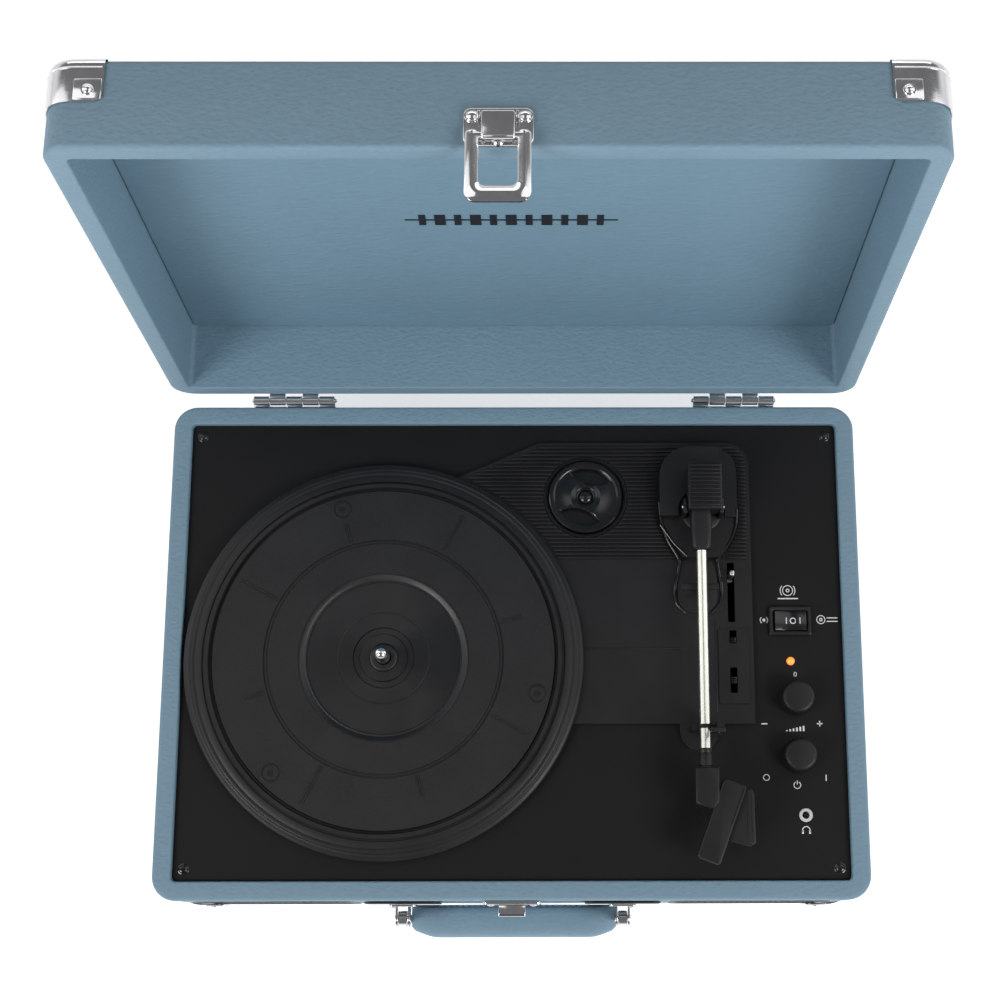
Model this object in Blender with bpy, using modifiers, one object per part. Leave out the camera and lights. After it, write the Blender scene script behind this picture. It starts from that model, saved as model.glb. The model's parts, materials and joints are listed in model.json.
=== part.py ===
"""Suitcase record player: a belt-driven turntable in a hinged carrying case, lid open.

Blender 4.5, +Z up. Constants are in millimetres and MM turns them into metres.
The case is 14 by 10 inches. The origin is on the floor, below the middle of the object's
bounding box, and every piece hangs from the empty "case", whose own origin is on the floor
below the middle of the base. Heights marked "over the rim" count from the base's top edge.
"""
import math

import bmesh
import bpy
from mathutils import Matrix, Vector

MM = 0.001
GAP = 0.3  # clearance between pieces that touch

# case
CASE_W = 356.0
CASE_D = 254.0
CASE_R = 12.0
EDGE_R = 3.0
WALL = 9.5
INNER_R = 3.0
FOOT_H = 4.0
FOOT_X, FOOT_Y = 140.0, 90.0
RIM = 88.0
LID_H = 39.2
LID_TOP = 3.0
LID_GAP = 0.5
BOARD = 4.0
DECK_TOP = -3.0  # over the rim
FRONT = -CASE_D / 2
REAR = CASE_D / 2

# lid hinge: how far behind the rear face and below the rim its axis lies, and how far it opens
HINGE_BACK = 3.7
HINGE_DROP = 1.2
LID_OPEN = 94.3
HINGE_X = 115.5
HINGE_W = 43.0
HINGE_LEAF = 24.0
BARREL_R = 2.6
PIN_R = 1.0

# chrome corners
CAP_T = 0.6
CAP_SIZE = (25.0, 25.0, 20.0)

# latch, in the closed lid's frame
LATCH_PLATE = (27.4, 1.2, 16.5)
LATCH_Z = 8.8  # middle of the plate over the rim
LEVER_AXIS = (FRONT - 4.2, 12.3)
BAIL_AXIS = (FRONT - 3.9, 3.8)
BAIL_TILT = 1.0
BAIL_OUT = (25.6, 31.0)
BAIL_HOLE_W = 15.0
BAIL_BAR = 7.0
BAIL_T = 2.0
HOOK_W = 13.4
HOOK_REACH = 7.7

# carrying handle
HANDLE_X = 55.5
HANDLE_Y = FRONT - 8.5
HANDLE_Z = 62.0
GRIP_DROP = 26.0
GRIP_SIZE = (105.8, 15.0, 18.0)
GRIP_Y = FRONT - 10.4

# turntable
PLATTER_X, PLATTER_Y = -65.3, -6.8
PLATTER_R = 101.5
DRIVE_R = 57.5
PAN_R = 84.0
PAN_FLOOR = -11.0
BELT_T = 0.8
PULLEY_R = 5.0
MOTOR_X, MOTOR_Y = PLATTER_X - 53.0, PLATTER_Y + 53.0
PLATE_TOP = -0.6
PLATE_T = 2.1
ADAPTER_X, ADAPTER_Y = 37.4, 77.8

# tonearm
ARM_X, ARM_Y = 97.0, 68.5
ARM_Z = 15.5  # over the rim, like the heights of the pivot's cover below
COVER_TOP, COVER_FRONT, COVER_RIGHT = 8.5, 3.6, 5.0
TUBE_R = 2.5
TUBE_X = ARM_X - 1.3
TUBE_END = -54.0
HEAD_ANGLE = 20.5
REST_Y = -43.3
CLIP_X, CLIP_Z = 103.0, 20.0
CLIP_EAR_D = 3.4
LIFT_X, LIFT_Y = 94.8, 28.0
CUE_X, CUE_Y, CUE_Z = 111.8, 36.0, -8.0

# controls
SWITCH_X, SWITCH_Y = 141.2, 12.8
LIGHT_X, LIGHT_Y = 141.7, -7.7
PITCH_X, PITCH_Y = 143.7, -27.2
VOLUME_X, VOLUME_Y = 144.0, -56.2
JACK_X, JACK_Y = 146.8, -85.5
KNOB_R = 8.7
SLIDER_X = 112.2
SPEED_Y = -18.0
STOP_Y = 2.6

# speakers and sockets
SPEAKER_X, SPEAKER_Z = 121.0, 42.0
SPEAKER_R = 31.0
SPEAKER_HOLE = 27.0
GRILLE = (80.0, 58.0)
SOCKET_X, SOCKET_Z = -70.0, 32.0

COLOURS = {
    "leatherette": ((0.16, 0.26, 0.33), 0.6, 0.0),
    "chrome": ((0.8, 0.8, 0.8), 0.12, 1.0),
    "steel": ((0.6, 0.6, 0.62), 0.3, 1.0),
    "deck_black": ((0.012, 0.012, 0.012), 0.5, 0.0),
    "plastic_black": ((0.016, 0.016, 0.016), 0.35, 0.0),
    "rubber": ((0.01, 0.01, 0.01), 0.8, 0.0),
    "board_brown": ((0.2, 0.12, 0.06), 0.7, 0.0),
    "circuit_green": ((0.02, 0.12, 0.05), 0.4, 0.0),
    "amber": ((1.0, 0.25, 0.03), 0.3, 0.0),
}


# ---------------------------------------------------------------- scene helpers

def clear_scene():
    for obj in list(bpy.data.objects):
        bpy.data.objects.remove(obj, do_unlink=True)


def new_collection(name):
    collection = bpy.data.collections.new(name)
    bpy.context.scene.collection.children.link(collection)
    return collection


clear_scene()
PARTS = new_collection("suitcase_record_player")
CUTTERS = new_collection("cutters")


def material(slot):
    found = bpy.data.materials.get(slot)
    if found:
        return found
    colour, roughness, metallic = COLOURS[slot]
    made = bpy.data.materials.new(slot)
    made.use_nodes = True
    shader = made.node_tree.nodes["Principled BSDF"]
    shader.inputs["Base Color"].default_value = (*colour, 1.0)
    shader.inputs["Roughness"].default_value = roughness
    shader.inputs["Metallic"].default_value = metallic
    return made


def empty(name, parent, at, tilt_x=0.0):
    made = bpy.data.objects.new(name, None)
    made.location = Vector(at) * MM
    made.rotation_euler.x = math.radians(tilt_x)
    made.parent = parent
    PARTS.objects.link(made)
    return made


def from_bmesh(name, bm):
    """An object with this mesh, scaled from millimetres, not linked to any collection yet."""
    bmesh.ops.scale(bm, vec=(MM, MM, MM), verts=bm.verts)
    bmesh.ops.recalc_face_normals(bm, faces=bm.faces)
    mesh = bpy.data.meshes.new(name)
    bm.to_mesh(mesh)
    bm.free()
    mesh.shade_smooth()
    mesh.set_sharp_from_angle(angle=math.radians(35))
    return bpy.data.objects.new(name, mesh)


def part(obj, slot, parent, at=(0, 0, 0)):
    """Makes obj a piece of the object: its material, its parent and its place."""
    obj.data.materials.append(material(slot))
    obj.location = Vector(at) * MM
    obj.parent = parent
    PARTS.objects.link(obj)
    return obj


def tool(obj, at=(0, 0, 0)):
    """Makes obj a shape that only cuts or joins others. Its place is in its target's own frame."""
    obj.location = Vector(at) * MM
    obj.hide_render = True
    obj.display_type = "WIRE"
    CUTTERS.objects.link(obj)
    return obj


def combine(target, other, operation):
    """Cuts target with the tool other, or joins other to it, by a Boolean modifier."""
    other.parent = target
    modifier = target.modifiers.new(other.name, "BOOLEAN")
    modifier.operation = operation
    modifier.solver = "EXACT"
    modifier.object = other
    return target


def cut(target, *others):
    for other in others:
        combine(target, other, "DIFFERENCE")
    return target


def join(target, *others):
    for other in others:
        combine(target, other, "UNION")
    return target


# ---------------------------------------------------------------- shape helpers

def arc(centre, radius, start, end, steps):
    """Points on an arc, from start to end degrees."""
    angles = [math.radians(start + (end - start) * i / steps) for i in range(steps + 1)]
    return [(centre[0] + radius * math.cos(a), centre[1] + radius * math.sin(a)) for a in angles]


def circle(centre, radius, steps=32):
    return arc(centre, radius, 0, 360, steps)[:-1]


def rounded(width, depth, radius, centre=(0, 0), steps=4):
    """A rectangle with round corners, as a list of points."""
    points = []
    for sx, sy, start in ((1, 1, 0), (-1, 1, 90), (-1, -1, 180), (1, -1, 270)):
        corner = (centre[0] + sx * (width / 2 - radius), centre[1] + sy * (depth / 2 - radius))
        points += arc(corner, radius, start, start + 90, steps)
    return points


def box(name, size, at=(0, 0, 0)):
    bm = bmesh.new()
    bmesh.ops.create_cube(bm, size=1.0)
    bmesh.ops.scale(bm, vec=size, verts=bm.verts)
    bmesh.ops.translate(bm, vec=at, verts=bm.verts)
    return from_bmesh(name, bm)


def cylinder(name, radius, length, axis="Z", at=(0, 0, 0), steps=24, top_radius=None):
    """A cylinder or cone of the given length, its middle at the given place."""
    bm = bmesh.new()
    bmesh.ops.create_cone(
        bm, cap_ends=True, segments=steps, radius1=radius,
        radius2=radius if top_radius is None else top_radius, depth=length,
    )
    turn = {"X": Matrix.Rotation(math.radians(90), 3, "Y"),
            "Y": Matrix.Rotation(math.radians(-90), 3, "X"),
            "Z": Matrix.Identity(3)}[axis]
    bmesh.ops.rotate(bm, cent=(0, 0, 0), matrix=turn, verts=bm.verts)
    bmesh.ops.translate(bm, vec=at, verts=bm.verts)
    return from_bmesh(name, bm)


def slab(name, outline, low, high, edge=0.0, edge_at="high", edge_steps=2):
    """A solid outline between two heights, one end's edge rounded if asked."""
    bm = bmesh.new()
    face = bm.faces.new([bm.verts.new((x, y, low)) for x, y in outline])
    made = bmesh.ops.extrude_face_region(bm, geom=[face])
    top = [v for v in made["geom"] if isinstance(v, bmesh.types.BMVert)]
    bmesh.ops.translate(bm, vec=(0, 0, high - low), verts=top)
    if edge:
        end = high if edge_at == "high" else low
        rim = [e for e in bm.edges if all(abs(v.co.z - end) < 1e-4 for v in e.verts)]
        bmesh.ops.bevel(bm, geom=rim, offset=edge, segments=edge_steps, profile=0.5, affect="EDGES")
    return from_bmesh(name, bm)


def plate(name, loops, low, high):
    """A flat plate from a 2D curve: the first loop is its outline, the others are holes."""
    curve = bpy.data.curves.new(name, "CURVE")
    curve.dimensions = "2D"
    curve.fill_mode = "BOTH"
    curve.extrude = (high - low) / 2 * MM
    for loop in loops:
        spline = curve.splines.new("POLY")
        spline.points.add(len(loop) - 1)
        for point, (x, y) in zip(spline.points, loop):
            point.co = (x * MM, y * MM, 0, 1)
        spline.use_cyclic_u = True
    guide = bpy.data.objects.new(name + "_curve", curve)
    CUTTERS.objects.link(guide)
    evaluated = guide.evaluated_get(bpy.context.evaluated_depsgraph_get())
    mesh = bpy.data.meshes.new_from_object(evaluated)
    bpy.data.objects.remove(guide, do_unlink=True)
    bm = bmesh.new()
    bm.from_mesh(mesh)
    bpy.data.meshes.remove(mesh)
    bmesh.ops.remove_doubles(bm, verts=bm.verts, dist=1e-6)
    bmesh.ops.scale(bm, vec=(1 / MM, 1 / MM, 1 / MM), verts=bm.verts)
    bmesh.ops.translate(bm, vec=(0, 0, (low + high) / 2), verts=bm.verts)
    return from_bmesh(name, bm)


def turned(name, profile, steps=32, ring=False):
    """A turned piece: profile points are (radius, height), from the top down the outer side.

    A ring's profile is closed and stays off the axis; another's starts and ends on it.
    """
    bm = bmesh.new()
    verts = [bm.verts.new((r * MM, 0, z * MM)) for r, z in profile]
    pairs = list(zip(verts, verts[1:]))
    if ring:
        pairs.append((verts[-1], verts[0]))
    for a, b in pairs:
        bm.edges.new((a, b))
    mesh = bpy.data.meshes.new(name)
    bm.to_mesh(mesh)
    bm.free()
    obj = bpy.data.objects.new(name, mesh)
    screw = obj.modifiers.new("turn", "SCREW")
    screw.steps = steps
    screw.render_steps = steps
    screw.use_merge_vertices = True
    screw.merge_threshold = 1e-6
    screw.use_smooth_shade = True
    return obj


def swing_mesh(obj, axis, degrees):
    """Turns an object's mesh about its own origin."""
    obj.data.transform(Matrix.Rotation(math.radians(degrees), 4, axis))
    return obj


# ---------------------------------------------------------------- frame of the case

def widest_y():
    """The rearmost point of the open lid, and the front of the handle, from the base's middle."""
    turn = math.radians(LID_OPEN)
    edge = EDGE_R + CAP_T + GAP
    reach = FRONT - (REAR + HINGE_BACK) + EDGE_R
    height = HINGE_DROP + LID_GAP + LID_H - EDGE_R
    rear = REAR + HINGE_BACK + reach * math.cos(turn) + height * math.sin(turn) + edge
    return rear, GRIP_Y - GRIP_SIZE[1] / 2


LID_REAR, HANDLE_FRONT = widest_y()
case = empty("case", None, (0, -(LID_REAR + HANDLE_FRONT) / 2, 0))
lid_pivot = empty("lid_pivot", case, (0, REAR + HINGE_BACK, RIM - HINGE_DROP), -LID_OPEN)
# the closed lid's frame: level with the rim, in the middle of the case
lid = empty("lid", lid_pivot, (0, -REAR - HINGE_BACK, HINGE_DROP))


# ---------------------------------------------------------------- case and lid

def case_outline(offset=0.0):
    return rounded(CASE_W + 2 * offset, CASE_D + 2 * offset, CASE_R + offset, steps=5)


def make_base_shell():
    shell = slab("base_shell", case_outline(), FOOT_H, RIM, EDGE_R, "low")
    part(shell, "leatherette", case)
    inside = (CASE_W - 2 * WALL, CASE_D - 2 * WALL)
    cut(shell, tool(slab("base_hollow", rounded(*inside, INNER_R), FOOT_H - 5, RIM + 5)))
    for sx in (-1, 1):
        for sy in (-1, 1):
            block = box("deck_block", (16, 16, RIM + DECK_TOP - BOARD - GAP - 12))
            height = 12 + (RIM + DECK_TOP - BOARD - GAP - 12) / 2
            join(shell, tool(block, (sx * (inside[0] / 2 - 6.5), sy * (inside[1] / 2 - 6.5), height)))
        hole = cylinder("speaker_hole", SPEAKER_HOLE, WALL * 3, "Y", steps=20)
        recess = slab("grille_recess", rounded(GRILLE[0] + 0.6, GRILLE[1] + 0.6, 8.3), -1.5, 5)
        swing_mesh(recess, "X", 90)
        cut(shell, tool(hole, (sx * SPEAKER_X, FRONT + WALL / 2, SPEAKER_Z)))
        cut(shell, tool(recess, (sx * SPEAKER_X, FRONT, SPEAKER_Z)))
    socket_hole = box("socket_hole", (56, WALL * 3, 16))
    cut(shell, tool(socket_hole, (SOCKET_X, REAR - WALL / 2, SOCKET_Z)))


def make_bottom():
    width = CASE_W - 2 * WALL - 2 * GAP
    depth = CASE_D - 2 * WALL - 2 * GAP
    panel = slab("bottom_panel", rounded(width, depth, INNER_R), 0, BOARD)
    part(panel, "board_brown", case, (0, 0, FOOT_H + GAP))
    for sx, side in ((-1, "left"), (1, "right")):
        for sy, end in ((-1, "front"), (1, "rear")):
            profile = [(0, FOOT_H), (10, FOOT_H), (10, 1.0), (9, 0), (0, 0)]
            foot = turned(f"foot_{end}_{side}", profile, 24)
            part(foot, "rubber", case, (sx * FOOT_X, sy * FOOT_Y, 0))


def make_deck():
    width = CASE_W - 2 * WALL - 2 * GAP
    depth = CASE_D - 2 * WALL - 2 * GAP
    loops = [
        rounded(width, depth, INNER_R - GAP),
        rounded(17.6, 11.4, 0.8, (SWITCH_X, SWITCH_Y), 2),
        circle((LIGHT_X, LIGHT_Y), 2.3, 16),
        circle((PITCH_X, PITCH_Y), 3.6, 16),
        circle((VOLUME_X, VOLUME_Y), 3.6, 16),
        circle((JACK_X, JACK_Y), 2.9, 16),
    ]
    deck = plate("deck_panel", loops, -BOARD, 0)
    part(deck, "deck_black", case, (0, 0, RIM + DECK_TOP))
    well = cylinder("pan_hole", PAN_R + 2.6, BOARD * 3, steps=40)
    window = slab("arm_window", rounded(106, 132, 4), -BOARD * 2, BOARD)
    cut(deck, tool(well, (PLATTER_X, PLATTER_Y, -BOARD / 2)), tool(window, (63, 35, 0)))


def make_lid_shell():
    shell = slab("lid_shell", case_outline(), LID_GAP, LID_GAP + LID_H, EDGE_R)
    part(shell, "leatherette", lid)
    inside = rounded(CASE_W - 2 * WALL, CASE_D - 2 * WALL, INNER_R)
    cut(shell, tool(slab("lid_hollow", inside, -5, LID_GAP + LID_H - LID_TOP)))


def make_corner_cap(name, sx, sy, parent, low, high, end):
    """A pressed metal cap over one corner: the case's own form, a little larger, and hollow."""
    edge = EDGE_R + GAP + CAP_T
    grow = GAP + CAP_T
    top = high + grow if end == "high" else high + 2
    bottom = low - grow if end == "low" else low - 2
    cap = slab(name, case_outline(grow), bottom, top, edge, end)
    part(cap, "chrome", parent)
    top = high + GAP if end == "high" else high + 4
    bottom = low - GAP if end == "low" else low - 4
    cut(cap, tool(slab(name + "_hollow", case_outline(GAP), bottom, top, EDGE_R + GAP, end)))
    width, depth, height = CAP_SIZE
    region = box(name + "_region", (width + 10, depth + 10, height + 10))
    middle = high - height / 2 + 5 if end == "high" else low + height / 2 - 5
    place = (sx * (CASE_W / 2 - width / 2 + 5), sy * (CASE_D / 2 - depth / 2 + 5), middle)
    combine(cap, tool(region, place), "INTERSECT")


def make_corner_caps():
    for sx, side in ((-1, "left"), (1, "right")):
        for sy, end in ((-1, "front"), (1, "rear")):
            make_corner_cap(f"lid_corner_{end}_{side}", sx, sy, lid, LID_GAP, LID_GAP + LID_H, "high")
            make_corner_cap(f"base_corner_{end}_{side}", sx, sy, case, FOOT_H, RIM, "low")


def make_hinge(side, sx):
    """Both leaves of one hinge. The base leaf has three knuckles and the pin, the lid leaf two."""
    leaf_t = 1.2
    leaf_y = -HINGE_BACK + GAP + leaf_t / 2
    knuckle = HINGE_W / 5
    leaves = {}
    for name, parent, sign in (("hinge_base", case, -1), ("hinge_lid", lid_pivot, 1)):
        full = f"{name}_{side}"
        leaf = box(full, (HINGE_W, leaf_t, HINGE_LEAF),
                   (0, leaf_y, sign * (BARREL_R + GAP + HINGE_LEAF / 2)))
        at = (sx * HINGE_X, 0, 0)
        if parent is case:
            at = (sx * HINGE_X, REAR + HINGE_BACK, RIM - HINGE_DROP)
        leaves[name] = part(leaf, "chrome", parent, at)
        for i in range(5):
            if (i % 2 == 0) != (name == "hinge_base"):
                continue
            x = (i - 2) * knuckle
            tab = box(full + "_tab", (knuckle - GAP, leaf_t + 0.8, BARREL_R + 1.0),
                      (x, leaf_y + 0.4, sign * (BARREL_R + 1.0) / 2))
            barrel = cylinder(full + "_knuckle", BARREL_R, knuckle - GAP, "X", (x, 0, 0), 12)
            join(leaves[name], tool(tab), tool(barrel))
    join(leaves["hinge_base"], tool(cylinder("hinge_pin", PIN_R, HINGE_W - 1, "X", steps=12)))
    cut(leaves["hinge_lid"], tool(cylinder("pin_bore", PIN_R + GAP, HINGE_W + 4, "X", steps=12)))


# ---------------------------------------------------------------- latch and handle

def make_catch():
    flange = box("catch_hook", (29, 1.6, 15))
    part(flange, "chrome", case, (0, FRONT - GAP - 0.8, RIM - 9.5))
    lip_y = -HOOK_REACH + GAP + 0.8
    outline = [(0, 4.5), (lip_y, 4.5), (lip_y, -2.5), (lip_y + 1.4, -2.5), (lip_y + 1.4, 3.1), (0, 3.1)]
    hook = slab("hook", outline, -HOOK_W / 2, HOOK_W / 2)
    hook.data.transform(Matrix(((0, 0, 1, 0), (1, 0, 0, 0), (0, 1, 0, 0), (0, 0, 0, 1))))
    join(flange, tool(hook))


def make_latch():
    width, depth, height = LATCH_PLATE
    base = box("latch_plate", LATCH_PLATE)
    place = (0, FRONT - GAP - depth / 2, LATCH_Z)
    part(base, "chrome", lid, place)
    axis_y = LEVER_AXIS[0] - place[1]
    axis_z = LEVER_AXIS[1] - place[2]
    for sx in (-1, 1):
        ear = box("latch_ear", (1.2, -axis_y + 1.4, 3.0), (sx * 7.5, (axis_y - 1.4) / 2, axis_z - 0.1))
        join(base, tool(ear))
    join(base, tool(cylinder("lever_pin", 0.8, 15.2, "X", (0, axis_y, axis_z), 12)))

    lever_pivot = empty("lever_pivot", lid, (0, *LEVER_AXIS))
    lever = box("latch_lever", (13, 4.0, 12.4), (0, 0, -5.0))
    part(lever, "chrome", lever_pivot)
    bail_y = BAIL_AXIS[0] - LEVER_AXIS[0]
    bail_z = BAIL_AXIS[1] - LEVER_AXIS[1]
    cut(
        lever,
        tool(box("lever_hollow", (10.6, 4.0, 15), (0, 1.2, -2.9))),
        tool(cylinder("lever_bore", 1.1, 20, "X", steps=12)),
        tool(cylinder("bail_bore", 1.5, 20, "X", (0, bail_y, bail_z), 16)),
    )

    bail_pivot = empty("bail_pivot", lever_pivot, (0, bail_y, bail_z), -BAIL_TILT)
    ring = rounded(BAIL_OUT[0], BAIL_OUT[1], 4.5, (0, 2.2 - BAIL_OUT[1] / 2), 4)
    middle = 2.2 + 0.6 - (BAIL_OUT[1] - BAIL_BAR) / 2
    hole = rounded(BAIL_HOLE_W, BAIL_OUT[1] - BAIL_BAR + 1.2, 2.5, (0, middle), 3)
    bail = slab("latch_bail", ring, -BAIL_T / 2, BAIL_T / 2)
    swing_mesh(bail, "X", 90)
    part(bail, "chrome", bail_pivot)
    opening = slab("bail_opening", hole, -BAIL_T * 2, BAIL_T * 2)
    swing_mesh(opening, "X", 90)
    cut(bail, tool(opening))
    join(bail, tool(cylinder("bail_rod", 1.1, BAIL_OUT[0] - 4, "X", steps=12)))


def make_handle():
    handle_pivot = empty("handle_pivot", case, (0, HANDLE_Y, HANDLE_Z))
    for sx, side in ((-1, "left"), (1, "right")):
        backing = slab(f"handle_plate_{side}", rounded(38, 24, 4, steps=3), 0, 1.0)
        swing_mesh(backing, "X", 90)
        part(backing, "plastic_black", case, (sx * HANDLE_X, FRONT - GAP, HANDLE_Z))
        flange_y = FRONT - 2 * GAP - 1.0
        bracket = box(f"handle_bracket_{side}", (14, 1.0, 15), (0, -0.5, 0))
        part(bracket, "chrome", case, (sx * HANDLE_X, flange_y, HANDLE_Z))
        reach = flange_y - HANDLE_Y
        for ear in (-1, 1):
            arm = box("bracket_ear", (1.0, reach, 9), (ear * 3.1, -reach / 2 - 0.3, 0))
            eye = cylinder("bracket_eye", 4.5, 1.0, "X", (ear * 3.1, -reach, 0), 20)
            join(bracket, tool(arm), tool(eye))
        join(bracket, tool(cylinder("bracket_pin", 1.2, 6.6, "X", (0, -reach, 0), 12)))

        strap = cylinder(f"handle_loop_{side}", 3.9, 4.6, "X", steps=20)
        part(strap, "chrome", handle_pivot, (sx * HANDLE_X, 0, 0))
        join(strap, tool(box("loop_strap", (4.6, 4.6, GRIP_DROP + 6), (0, 0, -GRIP_DROP / 2 - 3))))
        cut(strap, tool(cylinder("loop_bore", 1.5, 10, "X", steps=12)))

    width, depth, height = GRIP_SIZE
    taper = 12.0
    outline = [(width / 2, depth / 2), (-width / 2, depth / 2)]
    for i in range(6):
        a = math.radians(90 * i / 5)
        x = -(width / 2 - taper + taper * math.cos(a))
        outline.append((x, -depth / 2 + 9 - 9 * math.sin(a)))
    outline += [(-x, y) for x, y in reversed(outline[2:])]
    grip = slab("handle_grip", outline, -height / 2, height / 2)
    part(grip, "leatherette", handle_pivot, (0, GRIP_Y - HANDLE_Y, -GRIP_DROP))
    bevel = grip.modifiers.new("soft_edges", "BEVEL")
    bevel.width = 4 * MM
    bevel.segments = 2
    bevel.angle_limit = math.radians(60)


# ---------------------------------------------------------------- turntable

def plate_outline():
    """Outline of the mechanism plate: a disc below the platter and a wing for the arm."""
    radius = 97.0
    low_edge = -40.0
    low = -math.degrees(math.asin((PLATTER_Y - low_edge) / radius))
    points = arc((PLATTER_X, PLATTER_Y), radius, 72.3, 360 + low, 36)
    points += [(84.4, low_edge)]
    points += arc((94.2, -44), 9.8, 180, 360, 8)
    points += [(104, low_edge), (122.6, low_edge)]
    points += arc((110.6, 95.2), 12, 0, 90, 5)
    points += [(13.8, 107.2)]
    return points


def slot(x, y_low, y_high, width):
    return rounded(width, y_high - y_low, 0.6, (x, (y_low + y_high) / 2), 2)


def upright(name, radius, low, high, x=0.0, y=0.0, steps=28):
    """A tool: a vertical cylinder between two heights."""
    return tool(cylinder(name, radius, high - low, steps=steps), (x, y, (low + high) / 2))


def make_arm_cover():
    """A tool: the moulded cover around the arm's pivot, open in front and lower on the right."""
    outline = arc((91, 87.2), 15.5, 90, 180, 6)
    outline += [(75.5, 66), (87, 45), (106, 45), (115.3, 62)]
    outline += arc((104.3, 91.7), 11, 0, 90, 4)
    cover = tool(slab("arm_cover", outline, RIM + PLATE_TOP - 0.6, RIM + COVER_TOP))
    above = RIM + ARM_Z + 10
    front_floor = RIM + COVER_FRONT
    right_floor = RIM + COVER_RIGHT
    front = box("arm_front", (60, 40, above - front_floor))
    right = box("arm_right", (30, 80, above - right_floor))
    return cut(
        cover,
        upright("arm_room", 12.2, front_floor, above, ARM_X, ARM_Y, 32),
        tool(front, (97, 46, (above + front_floor) / 2)),
        tool(right, (122.5, 76, (above + right_floor) / 2)),
    )


def make_mechanism_plate():
    low = RIM + PLATE_TOP - PLATE_T
    high = RIM + PLATE_TOP
    body = slab("mechanism_plate", plate_outline(), low, high)
    part(body, "plastic_black", case)

    platter_at = (PLATTER_X, PLATTER_Y)
    adapter_at = (ADAPTER_X, ADAPTER_Y)
    pan_low = RIM + PAN_FLOOR - 2
    join(body, upright("pan", PAN_R + 2, pan_low, high - 0.5, *platter_at, 40))
    cut(body, upright("pan_hollow", PAN_R, RIM + PAN_FLOOR, high + 5, *platter_at, 40))
    join(body, upright("pan_boss", 8, pan_low + 1, RIM - 9.3, *platter_at, 24))
    cut(body, upright("spindle_bore", 3.9, pan_low - 5, RIM, *platter_at, 24))
    join(body, upright("pocket", 21.6, RIM - 7, high - 0.5, *adapter_at))
    cut(body, upright("pocket_hollow", 20, RIM - 5.5, high + 5, *adapter_at))
    join(body, upright("pocket_pin", 3.2, RIM - 6.5, RIM - 1, *adapter_at, 16))

    cradle_top = RIM + ARM_Z - TUBE_R - GAP
    cradle_low = RIM - 1.2
    cradle = box("arm_cradle", (13.4, 3, cradle_top - cradle_low))
    ear = box("clip_ear", (3.6, CLIP_EAR_D, 23))
    switch_plate = slab("switch_plate", rounded(15.4, 38.2, 1, (112.4, -10.9), 2), high - 0.7, RIM + 0.3)
    join(
        body,
        tool(switch_plate),
        tool(cradle, (96.3, REST_Y, (cradle_top + cradle_low) / 2)),
        tool(ear, (CLIP_X, REST_Y, RIM + CLIP_Z + 1.6 - 11.5)),
    )
    join(body, make_arm_cover())
    cut(
        body,
        upright("arm_shaft_hole", 3.4, low - 5, RIM + COVER_TOP, ARM_X, ARM_Y, 20),
        upright("motor_hole", 2.2, pan_low - 5, RIM, MOTOR_X, MOTOR_Y, 16),
        upright("lift_hole", 2.0, low - 5, high + 5, LIFT_X, LIFT_Y, 12),
        tool(slab("cue_slot", slot(CUE_X, 12, 43, 3.6), low - 5, RIM + 5)),
        tool(slab("speed_slot", slot(SLIDER_X, -24.5, -11.5, 3.6), low - 5, RIM + 5)),
        tool(slab("stop_slot", slot(SLIDER_X, 0.8, 7.6, 3.6), low - 5, RIM + 5)),
        tool(cylinder("clip_bore", 1.2, 10, "Y", steps=12), (CLIP_X, REST_Y, RIM + CLIP_Z)),
    )


def make_spindle():
    profile = [(0, 20), (1.6, 19.7), (2.9, 18.6), (3.6, 16.6), (3.6, -15), (6, -15), (6, -18), (0, -18)]
    part(turned("spindle", profile, 24), "chrome", case, (PLATTER_X, PLATTER_Y, RIM))


def make_platter():
    pivot = empty("platter_pivot", case, (PLATTER_X, PLATTER_Y, RIM))
    profile = [
        (PLATTER_R, 2.4), (PLATTER_R, 0.6), (DRIVE_R, 0.6), (DRIVE_R, -8), (DRIVE_R - 2.5, -8),
        (DRIVE_R - 2.5, 0.6), (8, 0.6), (8, -8.9), (3.95, -8.9), (3.95, 6.0),
        (6.5, 6.0), (8, 4.4), (14, 3.4), (15.4, 5.0),
        (40, 5.4), (41.5, 6.2), (43.4, 4.8), (88.5, 4.8), (89.4, 3.8),
        (90.4, 6.0), (92, 6.0), (92.6, 3.6),
    ]
    platter = turned("platter", profile, 40, ring=True)
    part(platter, "plastic_black", pivot)
    for i in range(3):
        a = math.radians(107 + 120 * i)
        place = (79.5 * math.cos(a), 79.5 * math.sin(a), 0)
        cut(platter, tool(cylinder("platter_hole", 3.0, 30, at=place, steps=12)))


def make_motor():
    top = RIM + PAN_FLOOR - 2 - GAP
    can = turned("motor", [(16, top), (16, top - 20), (1.6, top - 20), (1.6, top)], 28, ring=True)
    part(can, "steel", case, (MOTOR_X, MOTOR_Y, 0))
    pivot = empty("pulley_pivot", case, (MOTOR_X, MOTOR_Y, RIM))
    flange = PULLEY_R + 1.2
    pulley = turned("motor_pulley", [
        (0, -2.4), (flange, -2.4), (flange, -3.4), (PULLEY_R, -3.4), (PULLEY_R, -8.6),
        (flange, -8.6), (flange, -9.6), (1.2, -9.6), (1.2, -30), (0, -30),
    ], 20)
    part(pulley, "steel", pivot)


def belt_loop(large, small):
    """The line around the drive ring and the pulley at the given radii, as points."""
    run = Vector((MOTOR_X - PLATTER_X, MOTOR_Y - PLATTER_Y))
    heading = math.degrees(math.atan2(run.y, run.x))
    contact = math.degrees(math.acos((large - small) / run.length))
    points = arc((0, 0), large, heading + contact, heading + 360 - contact, 32)
    points += arc(tuple(run), small, heading - contact, heading + contact, 8)
    return points


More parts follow.
